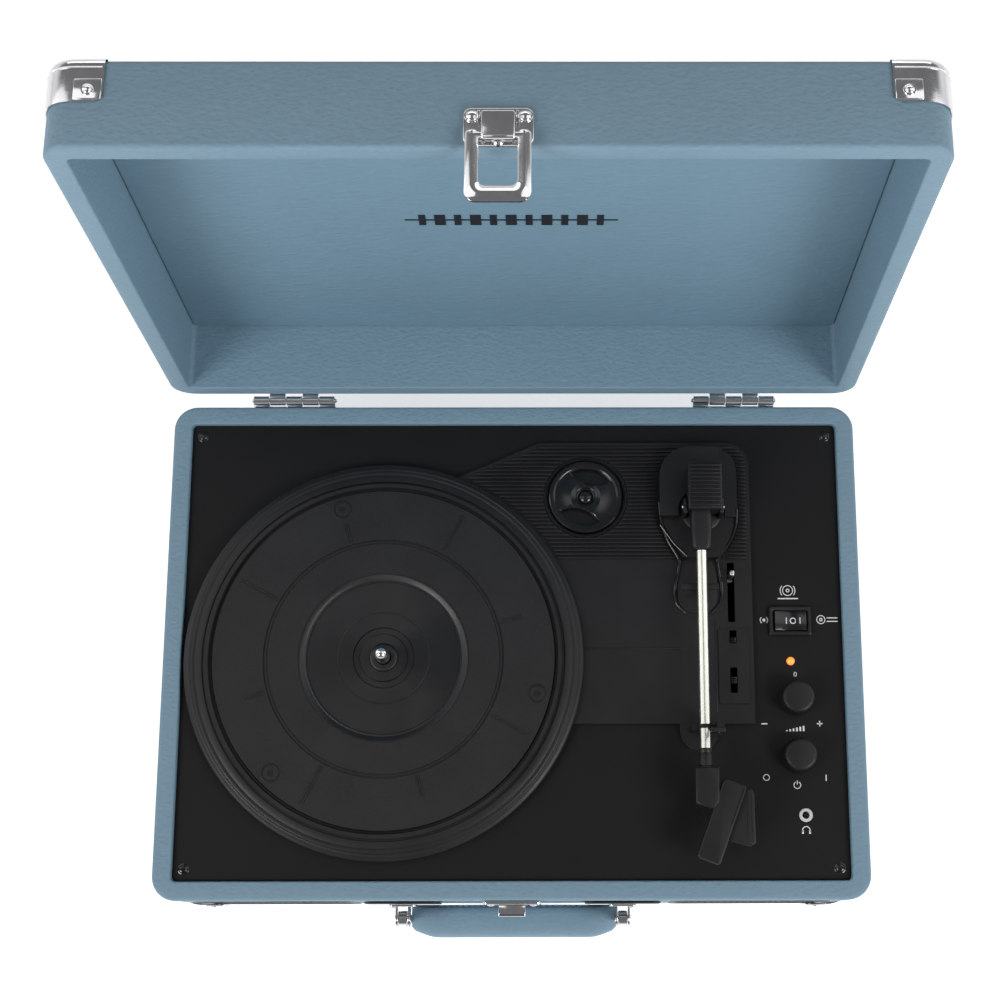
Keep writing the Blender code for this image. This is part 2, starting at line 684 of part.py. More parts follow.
def make_belt():
    inner = GAP
    outer = GAP + BELT_T
    loops = [belt_loop(DRIVE_R + outer, PULLEY_R + outer), belt_loop(DRIVE_R + inner, PULLEY_R + inner)]
    belt = plate("drive_belt", loops, -8.0, -4.0)
    part(belt, "rubber", case, (PLATTER_X, PLATTER_Y, RIM))


def make_adapter():
    pivot = empty("adapter_pivot", case, (ADAPTER_X, ADAPTER_Y, RIM))
    adapter = turned("adapter_45", [
        (19, 1.2), (19, -5.2), (3.7, -5.2), (3.7, 0.2), (6.2, 0.2), (8.5, -0.8), (11, -0.8),
        (11.6, 0.2), (17.4, 0.2), (17.9, 1.2),
    ], 24, ring=True)
    part(adapter, "plastic_black", pivot)


# ---------------------------------------------------------------- tonearm

def make_arm():
    swing = empty("arm_swing_pivot", case, (ARM_X, ARM_Y, RIM))
    yoke = turned("arm_yoke", [
        (0, 6.5), (10.4, 6.5), (10.4, 3.9), (3.0, 3.9), (3.0, -14), (0, -14),
    ], 28)
    part(yoke, "plastic_black", swing)
    for sx in (-1, 1):
        ear = box("yoke_ear", (2.0, 8, 15), (sx * 9.2, 0, 12.5))
        pin = cylinder("yoke_pin", 1.2, 3.2, "X", (sx * 7.4, 0, ARM_Z), 12)
        join(yoke, tool(ear), tool(pin))

    lift = empty("arm_lift_pivot", swing, (0, 0, ARM_Z))
    block = box("arm_block", (15.2, 24.5, 12.8), (0, 9.75, 2.1))
    part(block, "plastic_black", lift)
    neck = box("arm_neck", (11, 21, 8), (TUBE_X - ARM_X, -12, 0))
    bore = cylinder("arm_bore", 1.6, 30, "X", steps=12)
    join(block, tool(neck))
    cut(block, tool(bore))

    neck_end = -22.5
    tube_start = neck_end - GAP
    tube_stop = TUBE_END - ARM_Y
    tube = cylinder("arm_tube", TUBE_R, tube_start - tube_stop, "Y", steps=16)
    part(tube, "chrome", lift, (TUBE_X - ARM_X, (tube_start + tube_stop) / 2, 0))

    collar_top = tube_stop - GAP
    collar = 9.3
    shell = cylinder("headshell", 2.7, collar + 2, "Y", (0, -collar / 2 - 1, 0), 16)
    part(shell, "plastic_black", lift, (TUBE_X - ARM_X, collar_top, 0))
    shell_block = box("shell_block", (10.8, 21, 8.5), (0, -collar - 10.5, 0.2))
    hood = box("shell_hood", (11, 40.5, 7.5), (0, 0, 0))
    swing_mesh(hood, "Z", -HEAD_ANGLE)
    hood_x, hood_y = 102.3, -88.9
    join(shell, tool(shell_block))
    join(shell, tool(hood, (hood_x - TUBE_X, hood_y - ARM_Y - collar_top, 0.4)))
    flap = [(16.3, -21.7), (20.5, -19.9), (20.5, -42.7), (17.3, -46.7), (8.3, -43.7)]
    join(shell, tool(slab("finger_lift", flap, 0.6, 2.0)))

    stylus = (98.2, -100.0)
    cartridge = box("cartridge", (8.5, 15, 3.4), (0, 3, -5.4))
    swing_mesh(cartridge, "Z", -HEAD_ANGLE)
    part(cartridge, "plastic_black", lift, (stylus[0] - ARM_X, stylus[1] - ARM_Y, 0))
    join(cartridge, tool(cylinder("stylus", 0.4, 1.4, at=(0, 0, -7.3), steps=8, top_radius=0.8)))


def make_arm_controls():
    clip = empty("clip_pivot", case, (CLIP_X, REST_Y, RIM + CLIP_Z))
    front_y = -CLIP_EAR_D / 2 - GAP - 1.2
    bar = box("arm_clip", (2.8, 2.4, 12.8), (0, front_y, 5.0))
    part(bar, "plastic_black", clip)
    hook = box("clip_hook", (5, 2.4, 1.3), (-3.4, front_y, 10.75))
    pin = cylinder("clip_pin", 0.9, 4.4, "Y", (0, -0.9, 0), 12)
    join(bar, tool(hook), tool(pin))

    platform = box("lift_platform", (19, 3, 2.2))
    platform_top = ARM_Z - TUBE_R - 0.5
    lift = empty("lift_pivot", case, (LIFT_X, LIFT_Y, RIM))
    part(platform, "plastic_black", lift, (0, 0, platform_top - 1.1))
    stem = platform_top + 12
    join(platform, tool(cylinder("lift_stem", 1.6, stem, at=(0, 0, -stem / 2), steps=12)))

    cue = empty("cue_pivot", case, (CUE_X, CUE_Y, RIM + CUE_Z))
    lever = box("cue_lever", (2.4, 3.0, 18), (0, 0, 7))
    part(lever, "steel", cue)
    join(lever, tool(cylinder("cue_boss", 3.2, 2.4, "X", steps=16)))

    for name, y, length in (("speed_slider", SPEED_Y, 3.6), ("autostop_slider", STOP_Y, 2.6)):
        slider = box(name, (2.8, length, 7))
        part(slider, "plastic_black", case, (SLIDER_X, y, RIM - 2.0))


# ---------------------------------------------------------------- controls

def make_controls():
    frame = plate("switch_frame", [rounded(20.4, 14, 1.5, steps=3), rounded(16.8, 10.6, 0.6, steps=2)], 0, 1.9)
    part(frame, "plastic_black", case, (SWITCH_X, SWITCH_Y, RIM + DECK_TOP + GAP))

    rocker_pivot = empty("rocker_pivot", case, (SWITCH_X, SWITCH_Y, RIM - 4))
    outline = [(7.7, 3.4), (0, 2.2), (-7.7, 3.4), (-7.3, -3.6), (7.3, -3.6)]
    rocker = slab("mode_rocker", outline, -4.9, 4.9)
    swing_mesh(rocker, "X", 90)
    part(rocker, "plastic_black", rocker_pivot)

    for name, x, y in (("pitch_knob", PITCH_X, PITCH_Y), ("volume_knob", VOLUME_X, VOLUME_Y)):
        profile = [
            (0, 8.0), (6.9, 8.0), (8.0, 7.0), (8.3, 1.0), (KNOB_R, -0.4), (KNOB_R, DECK_TOP + GAP),
            (3.0, DECK_TOP + GAP), (3.0, -11.6), (0, -11.6),
        ]
        part(turned(name, profile, 24), "plastic_black", case, (x, y, RIM))

    lens = [(0, -1.9), (1.2, -2.1), (2.0, -2.9), (2.0, -9), (0, -9)]
    part(turned("power_light", lens, 16), "amber", case, (LIGHT_X, LIGHT_Y, RIM))
    barrel = [
        (3.4, -2.0), (3.4, DECK_TOP + GAP), (2.6, DECK_TOP + GAP), (2.6, -16), (0.8, -16), (0.8, -14),
        (1.8, -14), (1.8, -2.0),
    ]
    part(turned("headphone_jack", barrel, 20, ring=True), "chrome", case, (JACK_X, JACK_Y, RIM))

    board = box("control_board", (30, 112, 1.6))
    part(board, "circuit_green", case, (141, -33, RIM - 20.2))
    for x, y in ((PITCH_X, PITCH_Y), (VOLUME_X, VOLUME_Y)):
        join(board, tool(cylinder("control_pot", 8, 8, at=(x - 141, y + 33, 4.2), steps=20)))
    join(board, tool(box("switch_body", (17, 11, 8), (SWITCH_X - 141, SWITCH_Y + 33, 4.2))))


# ---------------------------------------------------------------- speakers and sockets

def make_speakers():
    for sx, side in ((-1, "left"), (1, "right")):
        profile = [
            (0, -5), (7, -7.5), (25, -0.6), (SPEAKER_R, 0), (SPEAKER_R, -2.4), (27, -2.6),
            (16, -12), (16, -23), (0, -23),
        ]
        speaker = turned(f"speaker_{side}", profile, 20)
        part(speaker, "steel", case, (sx * SPEAKER_X, FRONT + WALL + GAP, SPEAKER_Z))
        speaker.rotation_euler.x = math.radians(90)
        grille = slab(f"speaker_grille_{side}", rounded(*GRILLE, 8), 0, 1.1)
        swing_mesh(grille, "X", 90)
        part(grille, "plastic_black", case, (sx * SPEAKER_X, FRONT + 1.1, SPEAKER_Z))


def make_socket_panel():
    panel = slab("socket_panel", rounded(64, 24, 3, steps=3), 0, 1.5)
    swing_mesh(panel, "X", 90)
    part(panel, "plastic_black", case, (SOCKET_X, REAR + GAP + 1.5, SOCKET_Z))
    join(panel, tool(box("socket_body", (54, 9, 14), (0, -5.5, 0))))
    for x in (-20, -6):
        join(panel, tool(cylinder("line_socket", 4.2, 8, "Y", (x, 3.5, 0), 20)))
        cut(panel, tool(cylinder("line_bore", 1.8, 10, "Y", (x, 4, 0), 12)))
    cut(panel, tool(cylinder("power_bore", 4.0, 12, "Y", (16, -1, 0), 20)))
    join(panel, tool(cylinder("power_pin", 0.9, 7, "Y", (16, -5, 0), 8)))


make_base_shell()
make_bottom()
make_deck()
make_lid_shell()
make_corner_caps()
make_hinge("left", -1)
make_hinge("right", 1)
make_catch()
make_latch()
make_handle()
make_mechanism_plate()
make_spindle()
make_platter()
make_motor()
make_belt()
make_adapter()
make_arm()
make_arm_controls()
make_controls()
make_speakers()
make_socket_panel()
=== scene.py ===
"""Looks of the suitcase record player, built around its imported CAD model.

Shapes are written in millimetres in the frame of the body that they belong to, and each frame's
matrix takes them to the row frame in metres. The case frame has its origin on the floor, below the
middle of the base. The lid frame is the closed lid's: its origin is level with the base's rim.
"""
import json
import math

import bmesh
import bpy
from mathutils import Matrix, Vector


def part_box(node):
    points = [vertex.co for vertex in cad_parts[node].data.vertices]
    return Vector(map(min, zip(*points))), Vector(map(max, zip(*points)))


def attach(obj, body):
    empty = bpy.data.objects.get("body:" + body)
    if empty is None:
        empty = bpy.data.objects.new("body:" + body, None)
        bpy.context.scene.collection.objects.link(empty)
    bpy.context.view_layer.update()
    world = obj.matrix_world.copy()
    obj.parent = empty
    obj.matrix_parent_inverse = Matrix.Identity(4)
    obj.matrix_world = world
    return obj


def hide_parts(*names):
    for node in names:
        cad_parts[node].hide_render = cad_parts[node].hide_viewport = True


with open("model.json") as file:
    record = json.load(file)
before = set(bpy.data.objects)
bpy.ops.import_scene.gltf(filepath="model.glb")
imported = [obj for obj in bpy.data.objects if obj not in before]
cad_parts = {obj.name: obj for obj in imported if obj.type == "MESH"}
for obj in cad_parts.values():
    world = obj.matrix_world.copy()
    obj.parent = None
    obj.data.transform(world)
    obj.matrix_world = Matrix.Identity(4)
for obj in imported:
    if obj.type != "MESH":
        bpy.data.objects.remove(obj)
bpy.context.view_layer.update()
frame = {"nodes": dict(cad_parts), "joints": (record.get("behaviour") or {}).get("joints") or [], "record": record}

MM = 0.001
NODES = frame["nodes"]
JOINTS = {joint["name"]: joint for joint in frame["joints"]}
SCALE = Matrix.Scale(MM, 4)

# ---------------------------------------------------------------- frames of the bodies

BASE_LOW, BASE_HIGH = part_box("base_shell")
MIDDLE_Y = (BASE_LOW.y + BASE_HIGH.y) / 2
RIM = round(BASE_HIGH.z / MM, 2)
CASE_W = round((BASE_HIGH.x - BASE_LOW.x) / MM, 2)
CASE_D = round((BASE_HIGH.y - BASE_LOW.y) / MM, 2)
FRONT = -CASE_D / 2
REAR = CASE_D / 2


def pivot(joint):
    return Vector(JOINTS[joint]["pos_m"])


def frame_at(joint, tilt=0.0):
    """The frame whose origin is on a joint, tilted about +X by some degrees."""
    turn = Matrix.Rotation(math.radians(tilt), 4, "X")
    return Matrix.Translation(pivot(joint)) @ turn @ SCALE


LID_TURN = JOINTS["lid_hinge"]["range_deg"][0]
BAIL_TURN = JOINTS["latch_bail_hinge"]["range_deg"][0]
LID_OPENING = (
    Matrix.Translation(pivot("lid_hinge"))
    @ Matrix.Rotation(math.radians(LID_TURN), 4, "X")
    @ Matrix.Translation(-pivot("lid_hinge"))
)
CASE = Matrix.Translation((0, MIDDLE_Y, 0)) @ SCALE
LID = LID_OPENING @ Matrix.Translation((0, MIDDLE_Y, RIM * MM)) @ SCALE
HANDLE = frame_at("handle_swing")
ARM = frame_at("arm_lift")
BAIL = frame_at("latch_bail_hinge", LID_TURN + BAIL_TURN)
LEVER = frame_at("latch_lever_hinge", LID_TURN)


def centre(node):
    """The middle of a CAD node's box, in the case frame, in millimetres."""
    low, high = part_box(node)
    return CASE.inverted() @ ((low + high) / 2)


def axis_of(joint):
    """Where a joint is, in the case frame, in millimetres."""
    return CASE.inverted() @ pivot(joint)


# ---------------------------------------------------------------- shapes, in millimetres

def arc(cx, cy, radius, start, end, steps):
    angles = [math.radians(start + (end - start) * i / steps) for i in range(steps + 1)]
    return [(cx + radius * math.cos(a), cy + radius * math.sin(a)) for a in angles]


def rounded(width, depth, radius, cx=0.0, cy=0.0, steps=8):
    """A rectangle with round corners."""
    points = []
    for sx, sy, start in ((1, 1, 0), (-1, 1, 90), (-1, -1, 180), (1, -1, 270)):
        x = cx + sx * (width / 2 - radius)
        y = cy + sy * (depth / 2 - radius)
        points += arc(x, y, radius, start, start + 90, steps)
    return points


def circle(radius, steps):
    return arc(0, 0, radius, 0, 360, steps)[:-1]


def frame_rings(outer, inner, section):
    """Rings of a frame between two outlines. Section points are (share of the way inwards, height)."""
    rings = []
    for t, z in section:
        ring = []
        for (ox, oy), (ix, iy) in zip(outer, inner):
            ring.append((ox + (ix - ox) * t, oy + (iy - oy) * t, z))
        rings.append(ring)
    return rings


def skin(rings, closed=False, caps=True):
    """A surface through rings of points. A ring of one point is a pole."""
    bm = bmesh.new()
    rows = [[bm.verts.new(p) for p in ring] for ring in rings]
    pairs = list(zip(rows, rows[1:]))
    if closed:
        pairs.append((rows[-1], rows[0]))
    for a, b in pairs:
        count = max(len(a), len(b))
        for i in range(count):
            j = (i + 1) % count
            corners = [a[i % len(a)], a[j % len(a)], b[j % len(b)], b[i % len(b)]]
            face = list(dict.fromkeys(corners))
            if len(face) > 2:
                bm.faces.new(face)
    if caps and not closed:
        for row in (rows[0], rows[-1]):
            if len(row) > 2:
                bm.faces.new(row)
    bmesh.ops.recalc_face_normals(bm, faces=bm.faces)
    return bm


def lathe(profile, steps=64, closed=False, at=(0, 0, 0)):
    """A turned body about +Z. Profile points are (radius, height)."""
    rings = []
    for radius, height in profile:
        if radius < 1e-6:
            rings.append([(at[0], at[1], at[2] + height)])
        else:
            rings.append([(at[0] + x, at[1] + y, at[2] + height) for x, y in circle(radius, steps)])
    return skin(rings, closed=closed, caps=False)


def block(size, at=(0, 0, 0), bevel=0.3, segments=3):
    """A box with rounded edges."""
    bm = bmesh.new()
    bmesh.ops.create_cube(bm, size=1.0)
    bmesh.ops.scale(bm, vec=size, verts=bm.verts)
    if bevel:
        bmesh.ops.bevel(bm, geom=bm.edges[:], offset=bevel, segments=segments, profile=0.5, affect="EDGES")
    bmesh.ops.translate(bm, vec=at, verts=bm.verts)
    return bm


def prism(outline, low, high, bevel=0.0, segments=3, both=False):
    """An outline raised from low to high, with the upper edge rounded, or both."""
    bm = bmesh.new()
    face = bm.faces.new([bm.verts.new((x, y, low)) for x, y in outline])
    made = bmesh.ops.extrude_face_region(bm, geom=[face])
    top = [v for v in made["geom"] if isinstance(v, bmesh.types.BMVert)]
    bmesh.ops.translate(bm, vec=(0, 0, high - low), verts=top)
    if bevel:
        ends = (low, high) if both else (high,)
        rim = [e for e in bm.edges if any(all(abs(v.co.z - z) < 1e-4 for v in e.verts) for z in ends)]
        bmesh.ops.bevel(bm, geom=rim, offset=bevel, segments=segments, profile=0.5, affect="EDGES")
    bmesh.ops.recalc_face_normals(bm, faces=bm.faces)
    return bm


def tube(points, radius, steps=16, closed=False):
    """A round bar along a line of points."""
    points = [Vector(p) for p in points]
    count = len(points)
    rings = []
    up = Vector((0, 0, 1))
    for i, p in enumerate(points):
        before = points[i - 1] if closed or i else p
        after = points[(i + 1) % count] if closed or i < count - 1 else p
        along = (after - before).normalized()
        side = along.cross(up)
        if side.length < 1e-3:
            side = along.cross(Vector((0, 1, 0)))
        side.normalize()
        over = side.cross(along).normalized()
        ring = []
        for k in range(steps):
            a = 2 * math.pi * k / steps
            ring.append(tuple(p + side * (radius * math.cos(a)) + over * (radius * math.sin(a))))
        rings.append(ring)
    return skin(rings, closed=closed)


def turned_to(bm, axis, at=(0, 0, 0), degrees=90.0):
    """The shape turned about an axis and then moved."""
    turn = Matrix.Rotation(math.radians(degrees), 3, axis)
    bmesh.ops.rotate(bm, cent=(0, 0, 0), matrix=turn, verts=bm.verts)
    bmesh.ops.translate(bm, vec=at, verts=bm.verts)
    return bm


def moved(bm, at):
    bmesh.ops.translate(bm, vec=at, verts=bm.verts)
    return bm


def along_x(bm, at=(0, 0, 0)):
    return turned_to(bm, "Y", at)


def along_y(bm, at=(0, 0, 0)):
    """A shape that pointed up points forward, towards -Y."""
    return turned_to(bm, "X", at)


def together(*shapes):
    """All the shapes in one mesh."""
    whole = bmesh.new()
    for bm in shapes:
        mesh = bpy.data.meshes.new("part")
        bm.to_mesh(mesh)
        bm.free()
        whole.from_mesh(mesh)
        bpy.data.meshes.remove(mesh)
    return whole


# ---------------------------------------------------------------- pieces

IDENTITY = Matrix.Identity(4)


def as_object(name, bm, matrix, sharp=35.0):
    bm.transform(matrix)
    if matrix.determinant() < 0:
        bmesh.ops.reverse_faces(bm, faces=bm.faces)
    mesh = bpy.data.meshes.new(name)
    bm.to_mesh(mesh)
    bm.free()
    mesh.shade_smooth()
    mesh.set_sharp_from_angle(angle=math.radians(sharp))
    obj = bpy.data.objects.new(name, mesh)
    bpy.context.scene.collection.objects.link(obj)
    return obj


def as_shape(obj):
    """The object's mesh as a shape. The object is removed."""
    bm = bmesh.new()
    bm.from_mesh(obj.data)
    bpy.data.objects.remove(obj, do_unlink=True)
    return bm


def piece(name, bm, look, body, matrix=CASE, replaces=(), sharp=35.0):
    """A visible piece: its mesh, its material, the body that it rides on and the nodes it replaces."""
    obj = as_object(name, bm, matrix, sharp)
    dress(obj, look, body, replaces)
    return obj


def dress(obj, look, body, replaces=()):
    obj.data.materials.clear()
    obj.data.materials.append(LOOKS[look])
    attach(obj, body)
    if replaces:
        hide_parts(*([replaces] if isinstance(replaces, str) else replaces))


def carve(obj, *cutters, operation="DIFFERENCE"):
    """Applies Booleans with these objects and removes them."""
    for cutter in cutters:
        modifier = obj.modifiers.new("carve", "BOOLEAN")
        modifier.operation = operation
        modifier.solver = "EXACT"
        modifier.object = cutter
    bake(obj)
    for cutter in cutters:
        bpy.data.objects.remove(cutter, do_unlink=True)
    return obj


def bake(obj):
    """Makes the object's modifiers part of its mesh."""
    evaluated = obj.evaluated_get(bpy.context.evaluated_depsgraph_get())
    mesh = bpy.data.meshes.new_from_object(evaluated)
    obj.modifiers.clear()
    obj.data = mesh


def soften(obj, width, segments=2, angle=30.0):
    """Rounds the edges that are sharper than the angle. The width is in millimetres."""
    modifier = obj.modifiers.new("soft_edges", "BEVEL")
    modifier.width = width * MM
    modifier.segments = segments
    modifier.limit_method = "ANGLE"
    modifier.angle_limit = math.radians(angle)
    modifier.harden_normals = True
    return obj


# ---------------------------------------------------------------- materials

class Look:
    """A procedural material. Its texture space is the row frame, in millimetres."""

    def __init__(self, name, colour, roughness, metallic=0.0, specular=0.5):
        self.material = bpy.data.materials.new(name)
        self.material.use_nodes = True
        self.tree = self.material.node_tree
        self.shader = self.tree.nodes["Principled BSDF"]
        self.colour = colour
        self.set("Base Color", (*colour, 1.0))
        self.set("Roughness", roughness)
        self.set("Metallic", metallic)
        self.set("Specular IOR Level", specular)
        self.normal = None

    def set(self, socket, value):
        self.shader.inputs[socket].default_value = value

    def add(self, kind, **values):
        node = self.tree.nodes.new(kind)
        for key, value in values.items():
            setattr(node, key, value)
        return node

    def link(self, out, into):
        self.tree.links.new(out, into)

    def space(self, stretch=(1, 1, 1)):
        """Texture coordinates in millimetres, squeezed by the stretch factors."""
        coordinates = self.add("ShaderNodeTexCoord")
        mapping = self.add("ShaderNodeMapping")
        mapping.inputs["Scale"].default_value = [1000 / s for s in stretch]
        self.link(coordinates.outputs["Object"], mapping.inputs["Vector"])
        return mapping.outputs["Vector"]

    def noise(self, size, detail=3.0, roughness=0.5, stretch=(1, 1, 1), distortion=0.0):
        """Noise whose features are about size millimetres wide."""
        node = self.add("ShaderNodeTexNoise")
        node.inputs["Scale"].default_value = 1 / size
        node.inputs["Detail"].default_value = detail
        node.inputs["Roughness"].default_value = roughness
        node.inputs["Distortion"].default_value = distortion
        self.link(self.space(stretch), node.inputs["Vector"])
        return node.outputs["Fac"]

    def cells(self, size, stretch, warp):
        """Voronoi cells about size millimetres wide, warped so that their edges wander."""
        node = self.add("ShaderNodeTexVoronoi", feature="SMOOTH_F1")
        node.inputs["Scale"].default_value = 1 / size
        vector = self.space(stretch)
        noise = self.add("ShaderNodeTexNoise")
        noise.inputs["Scale"].default_value = 0.7 / size
        self.link(vector, noise.inputs["Vector"])
        mix = self.add("ShaderNodeVectorMath", operation="MULTIPLY_ADD")
        mix.inputs[1].default_value = (warp * size, warp * size, warp * size)
        self.link(noise.outputs["Color"], mix.inputs[0])
        self.link(vector, mix.inputs[2])
        self.link(mix.outputs["Vector"], node.inputs["Vector"])
        return node.outputs["Distance"]

    def ramp(self, value, low, high, out_low, out_high):
        node = self.add("ShaderNodeMapRange")
        node.inputs["From Min"].default_value = low
        node.inputs["From Max"].default_value = high
        node.inputs["To Min"].default_value = out_low
        node.inputs["To Max"].default_value = out_high
        self.link(value, node.inputs["Value"])
        return node.outputs["Result"]

    def mean(self, *values):
        total = values[0]
        for value in values[1:]:
            node = self.add("ShaderNodeMath", operation="ADD")
            self.link(total, node.inputs[0])
            self.link(value, node.inputs[1])
            total = node.outputs["Value"]
        node = self.add("ShaderNodeMath", operation="MULTIPLY")
        node.inputs[1].default_value = 1 / len(values)
        self.link(total, node.inputs[0])
        return node.outputs["Value"]

    def vary_colour(self, value, low, high, darker, lighter):
        """Moves the base colour between two multiples of itself as the value goes from low to high."""
        node = self.add("ShaderNodeValToRGB")
        for element, position, factor in zip(node.color_ramp.elements, (low, high), (darker, lighter)):
            element.position = position
            element.color = (*[c * factor for c in self.colour], 1)
        self.link(value, node.inputs["Fac"])
        self.link(node.outputs["Color"], self.shader.inputs["Base Color"])

    def vary_roughness(self, value, low, high, smooth, rough):
        self.link(self.ramp(value, low, high, smooth, rough), self.shader.inputs["Roughness"])

    def bump(self, height, depth):
        """Raises the surface by depth millimetres where the height is 1."""
        node = self.add("ShaderNodeBump")
        node.inputs["Strength"].default_value = 1.0
        node.inputs["Distance"].default_value = depth * MM
        self.link(height, node.inputs["Height"])
        if self.normal:
            self.link(self.normal, node.inputs["Normal"])
        self.normal = node.outputs["Normal"]
        self.link(self.normal, self.shader.inputs["Normal"])


def leatherette(name, colour, stretch, depth):
    """Coated fabric with a fine pebbled grain, longer one way, and faint tonal drift."""
    look = Look(name, colour, 0.5, specular=0.35)
    grain = look.cells(1.25, stretch, 0.9)
    fine = look.noise(0.55, 3.0, 0.6, stretch)
    drift = look.noise(38.0, 2.0, 0.5)
    crease = look.noise(1.4, 3.0, 0.65, stretch, distortion=0.8)
    look.vary_colour(look.mean(grain, drift, crease), 0.3, 0.75, 0.94, 1.06)
    look.vary_roughness(grain, 0.1, 0.8, 0.5, 0.62)
    look.bump(grain, 0.26 * depth)
    look.bump(fine, 0.06 * depth)
    look.bump(crease, 0.2 * depth)
    return look.material


def moulded(name, colour, roughness, grain=0.6, depth=0.03, specular=0.5, drift=0.12):
    """Moulded plastic: fine spark-eroded texture, faint flow marks and uneven gloss."""
    look = Look(name, colour, roughness, specular=specular)
    fine = look.noise(grain, 3.0, 0.65)
    flow = look.noise(24.0, 3.0, 0.5)
    look.vary_colour(flow, 0.3, 0.7, 1 - drift, 1 + drift)
    look.vary_roughness(look.mean(fine, flow), 0.35, 0.65, roughness - 0.06, roughness + 0.08)
    look.bump(fine, depth)
    return look.material


def grooved(name, colour, roughness):
    """Glossy plastic with fine rings, so that its highlights spread from the middle."""
    look = Look(name, colour, roughness, specular=0.36)
    look.set("Anisotropic", 0.6)
    tangent = look.add("ShaderNodeTangent", direction_type="RADIAL", axis="Z")
    look.link(tangent.outputs["Tangent"], look.shader.inputs["Tangent"])
    smear = look.noise(12.0, 3.0, 0.5)
    look.vary_colour(smear, 0.3, 0.7, 0.9, 1.1)
    look.vary_roughness(smear, 0.3, 0.7, roughness - 0.05, roughness + 0.08)
    look.bump(look.noise(0.9, 2.0, 0.5), 0.004)
    return look.material


def polished(name, colour, roughness, brushed=None, depth=0.004):
    """Metal with faint smears, and with brush marks if it is brushed along an axis."""
    look = Look(name, colour, roughness, metallic=1.0)
    smear = look.noise(9.0, 4.0, 0.6)
    fine = look.noise(0.5, 2.0, 0.5, brushed or (1, 1, 1))
    look.vary_colour(smear, 0.3, 0.7, 0.93, 1.04)
    look.vary_roughness(look.mean(smear, fine), 0.3, 0.7, roughness * 0.7, roughness * 1.5)
    look.bump(fine, depth)
    wave = look.noise(6.0, 1.0, 0.4)
    look.bump(wave, depth * 5)
    return look.material


def glowing(name, colour, strength):
    look = Look(name, colour, 0.2)
    core = look.noise(1.2, 1.0, 0.5)
    look.vary_colour(core, 0.3, 0.7, 0.85, 1.15)
    look.set("Emission Color", (*colour, 1.0))
    look.set("Emission Strength", strength)
    look.bump(look.noise(0.8, 2.0), 0.02)
    return look.material


BLUE = (0.168, 0.266, 0.340)
LINER = (0.150, 0.250, 0.325)
BLACK = (0.0060, 0.0060, 0.0062)
LOOKS = {
    "leatherette": leatherette("blue_leatherette", BLUE, (2.2, 1.3, 1.0), 1.0),
    "liner": leatherette("blue_liner", LINER, (3.4, 1.2, 0.9), 0.9),
    "grip": leatherette("blue_grip", BLUE, (1.8, 1.2, 1.2), 0.8),
    "chrome": polished("chrome", (0.69, 0.69, 0.70), 0.1),
    "tube": polished("satin_chrome", (0.80, 0.79, 0.72), 0.25, (1, 12, 1), 0.003),
    "steel": polished("steel", (0.55, 0.55, 0.56), 0.3, (1, 1, 8), 0.01),
    "deck": moulded("deck_black", BLACK, 0.58, 0.35, 0.03, 0.17, 0.06),
    "black": moulded("moulded_black", (0.0085, 0.0085, 0.0088), 0.42, 0.45, 0.02, 0.3),
    "gloss": moulded("gloss_black", (0.0065, 0.0065, 0.007), 0.17, 1.2, 0.004, 0.5),
    "platter": moulded("platter_black", (0.0120, 0.0120, 0.0124), 0.42, 0.6, 0.02, 0.28),
    "mat": moulded("platter_grain", (0.0122, 0.0122, 0.0125), 0.5, 0.6, 0.16, 0.27),
    "grooved": grooved("grooved_black", (0.0070, 0.0072, 0.0075), 0.36),
    # painted shade: a darker black for the platter's screw-hole rims and for the flat discs that stand in for the
    # shaded depth of each hole
    "hole_rims_and_shade": moulded("hole_rims_and_painted_shade", (0.006, 0.006, 0.006), 0.5, 0.5, 0.02, 0.25),
    "rubber": moulded("rubber", (0.012, 0.012, 0.012), 0.75, 0.4, 0.05, 0.3),
    "print": moulded("print_white", (0.72, 0.72, 0.70), 0.5, 0.3, 0.01, 0.4, 0.04),
    "emblem": moulded("print_dark", (0.012, 0.014, 0.018), 0.45, 0.3, 0.01, 0.4, 0.04),
    "white": moulded("white_plastic", (0.62, 0.62, 0.60), 0.35, 0.8, 0.01),
    "red": moulded("red_plastic", (0.42, 0.02, 0.02), 0.35, 0.8, 0.01),
    "board": moulded("hardboard", (0.06, 0.045, 0.035), 0.7, 1.2, 0.12, 0.3, 0.2),
    "circuit": moulded("circuit_board", (0.02, 0.12, 0.05), 0.4, 2.0, 0.02),
    "light": glowing("amber_light", (1.0, 0.27, 0.05), 1.15),
}
SLOT_LOOKS = {
    "leatherette": "leatherette", "chrome": "chrome", "steel": "steel", "deck_black": "deck",
    "plastic_black": "black", "rubber": "rubber", "board_brown": "board",
    "circuit_green": "circuit", "amber": "light",
}
for part in frame["record"]["subparts"]:
    node = NODES[part["node"]]
    node.data.materials.clear()
    node.data.materials.append(LOOKS[SLOT_LOOKS[part["material_slot"]]])

# ---------------------------------------------------------------- small fittings

def rivet(radius=1.9, height=1.0, flange=2.6):
    """A domed rivet that points up, its foot at the origin."""
    profile = [(0, -0.5), (flange, -0.5), (flange, 0.15), (flange - 0.15, 0.3), (radius + 0.15, 0.3)]
    for i in range(6):
        a = i * math.pi / 12
        profile.append((radius * math.cos(a), 0.25 + height * math.sin(a)))
    profile.append((0, 0.25 + height))
    return lathe(profile, 28)


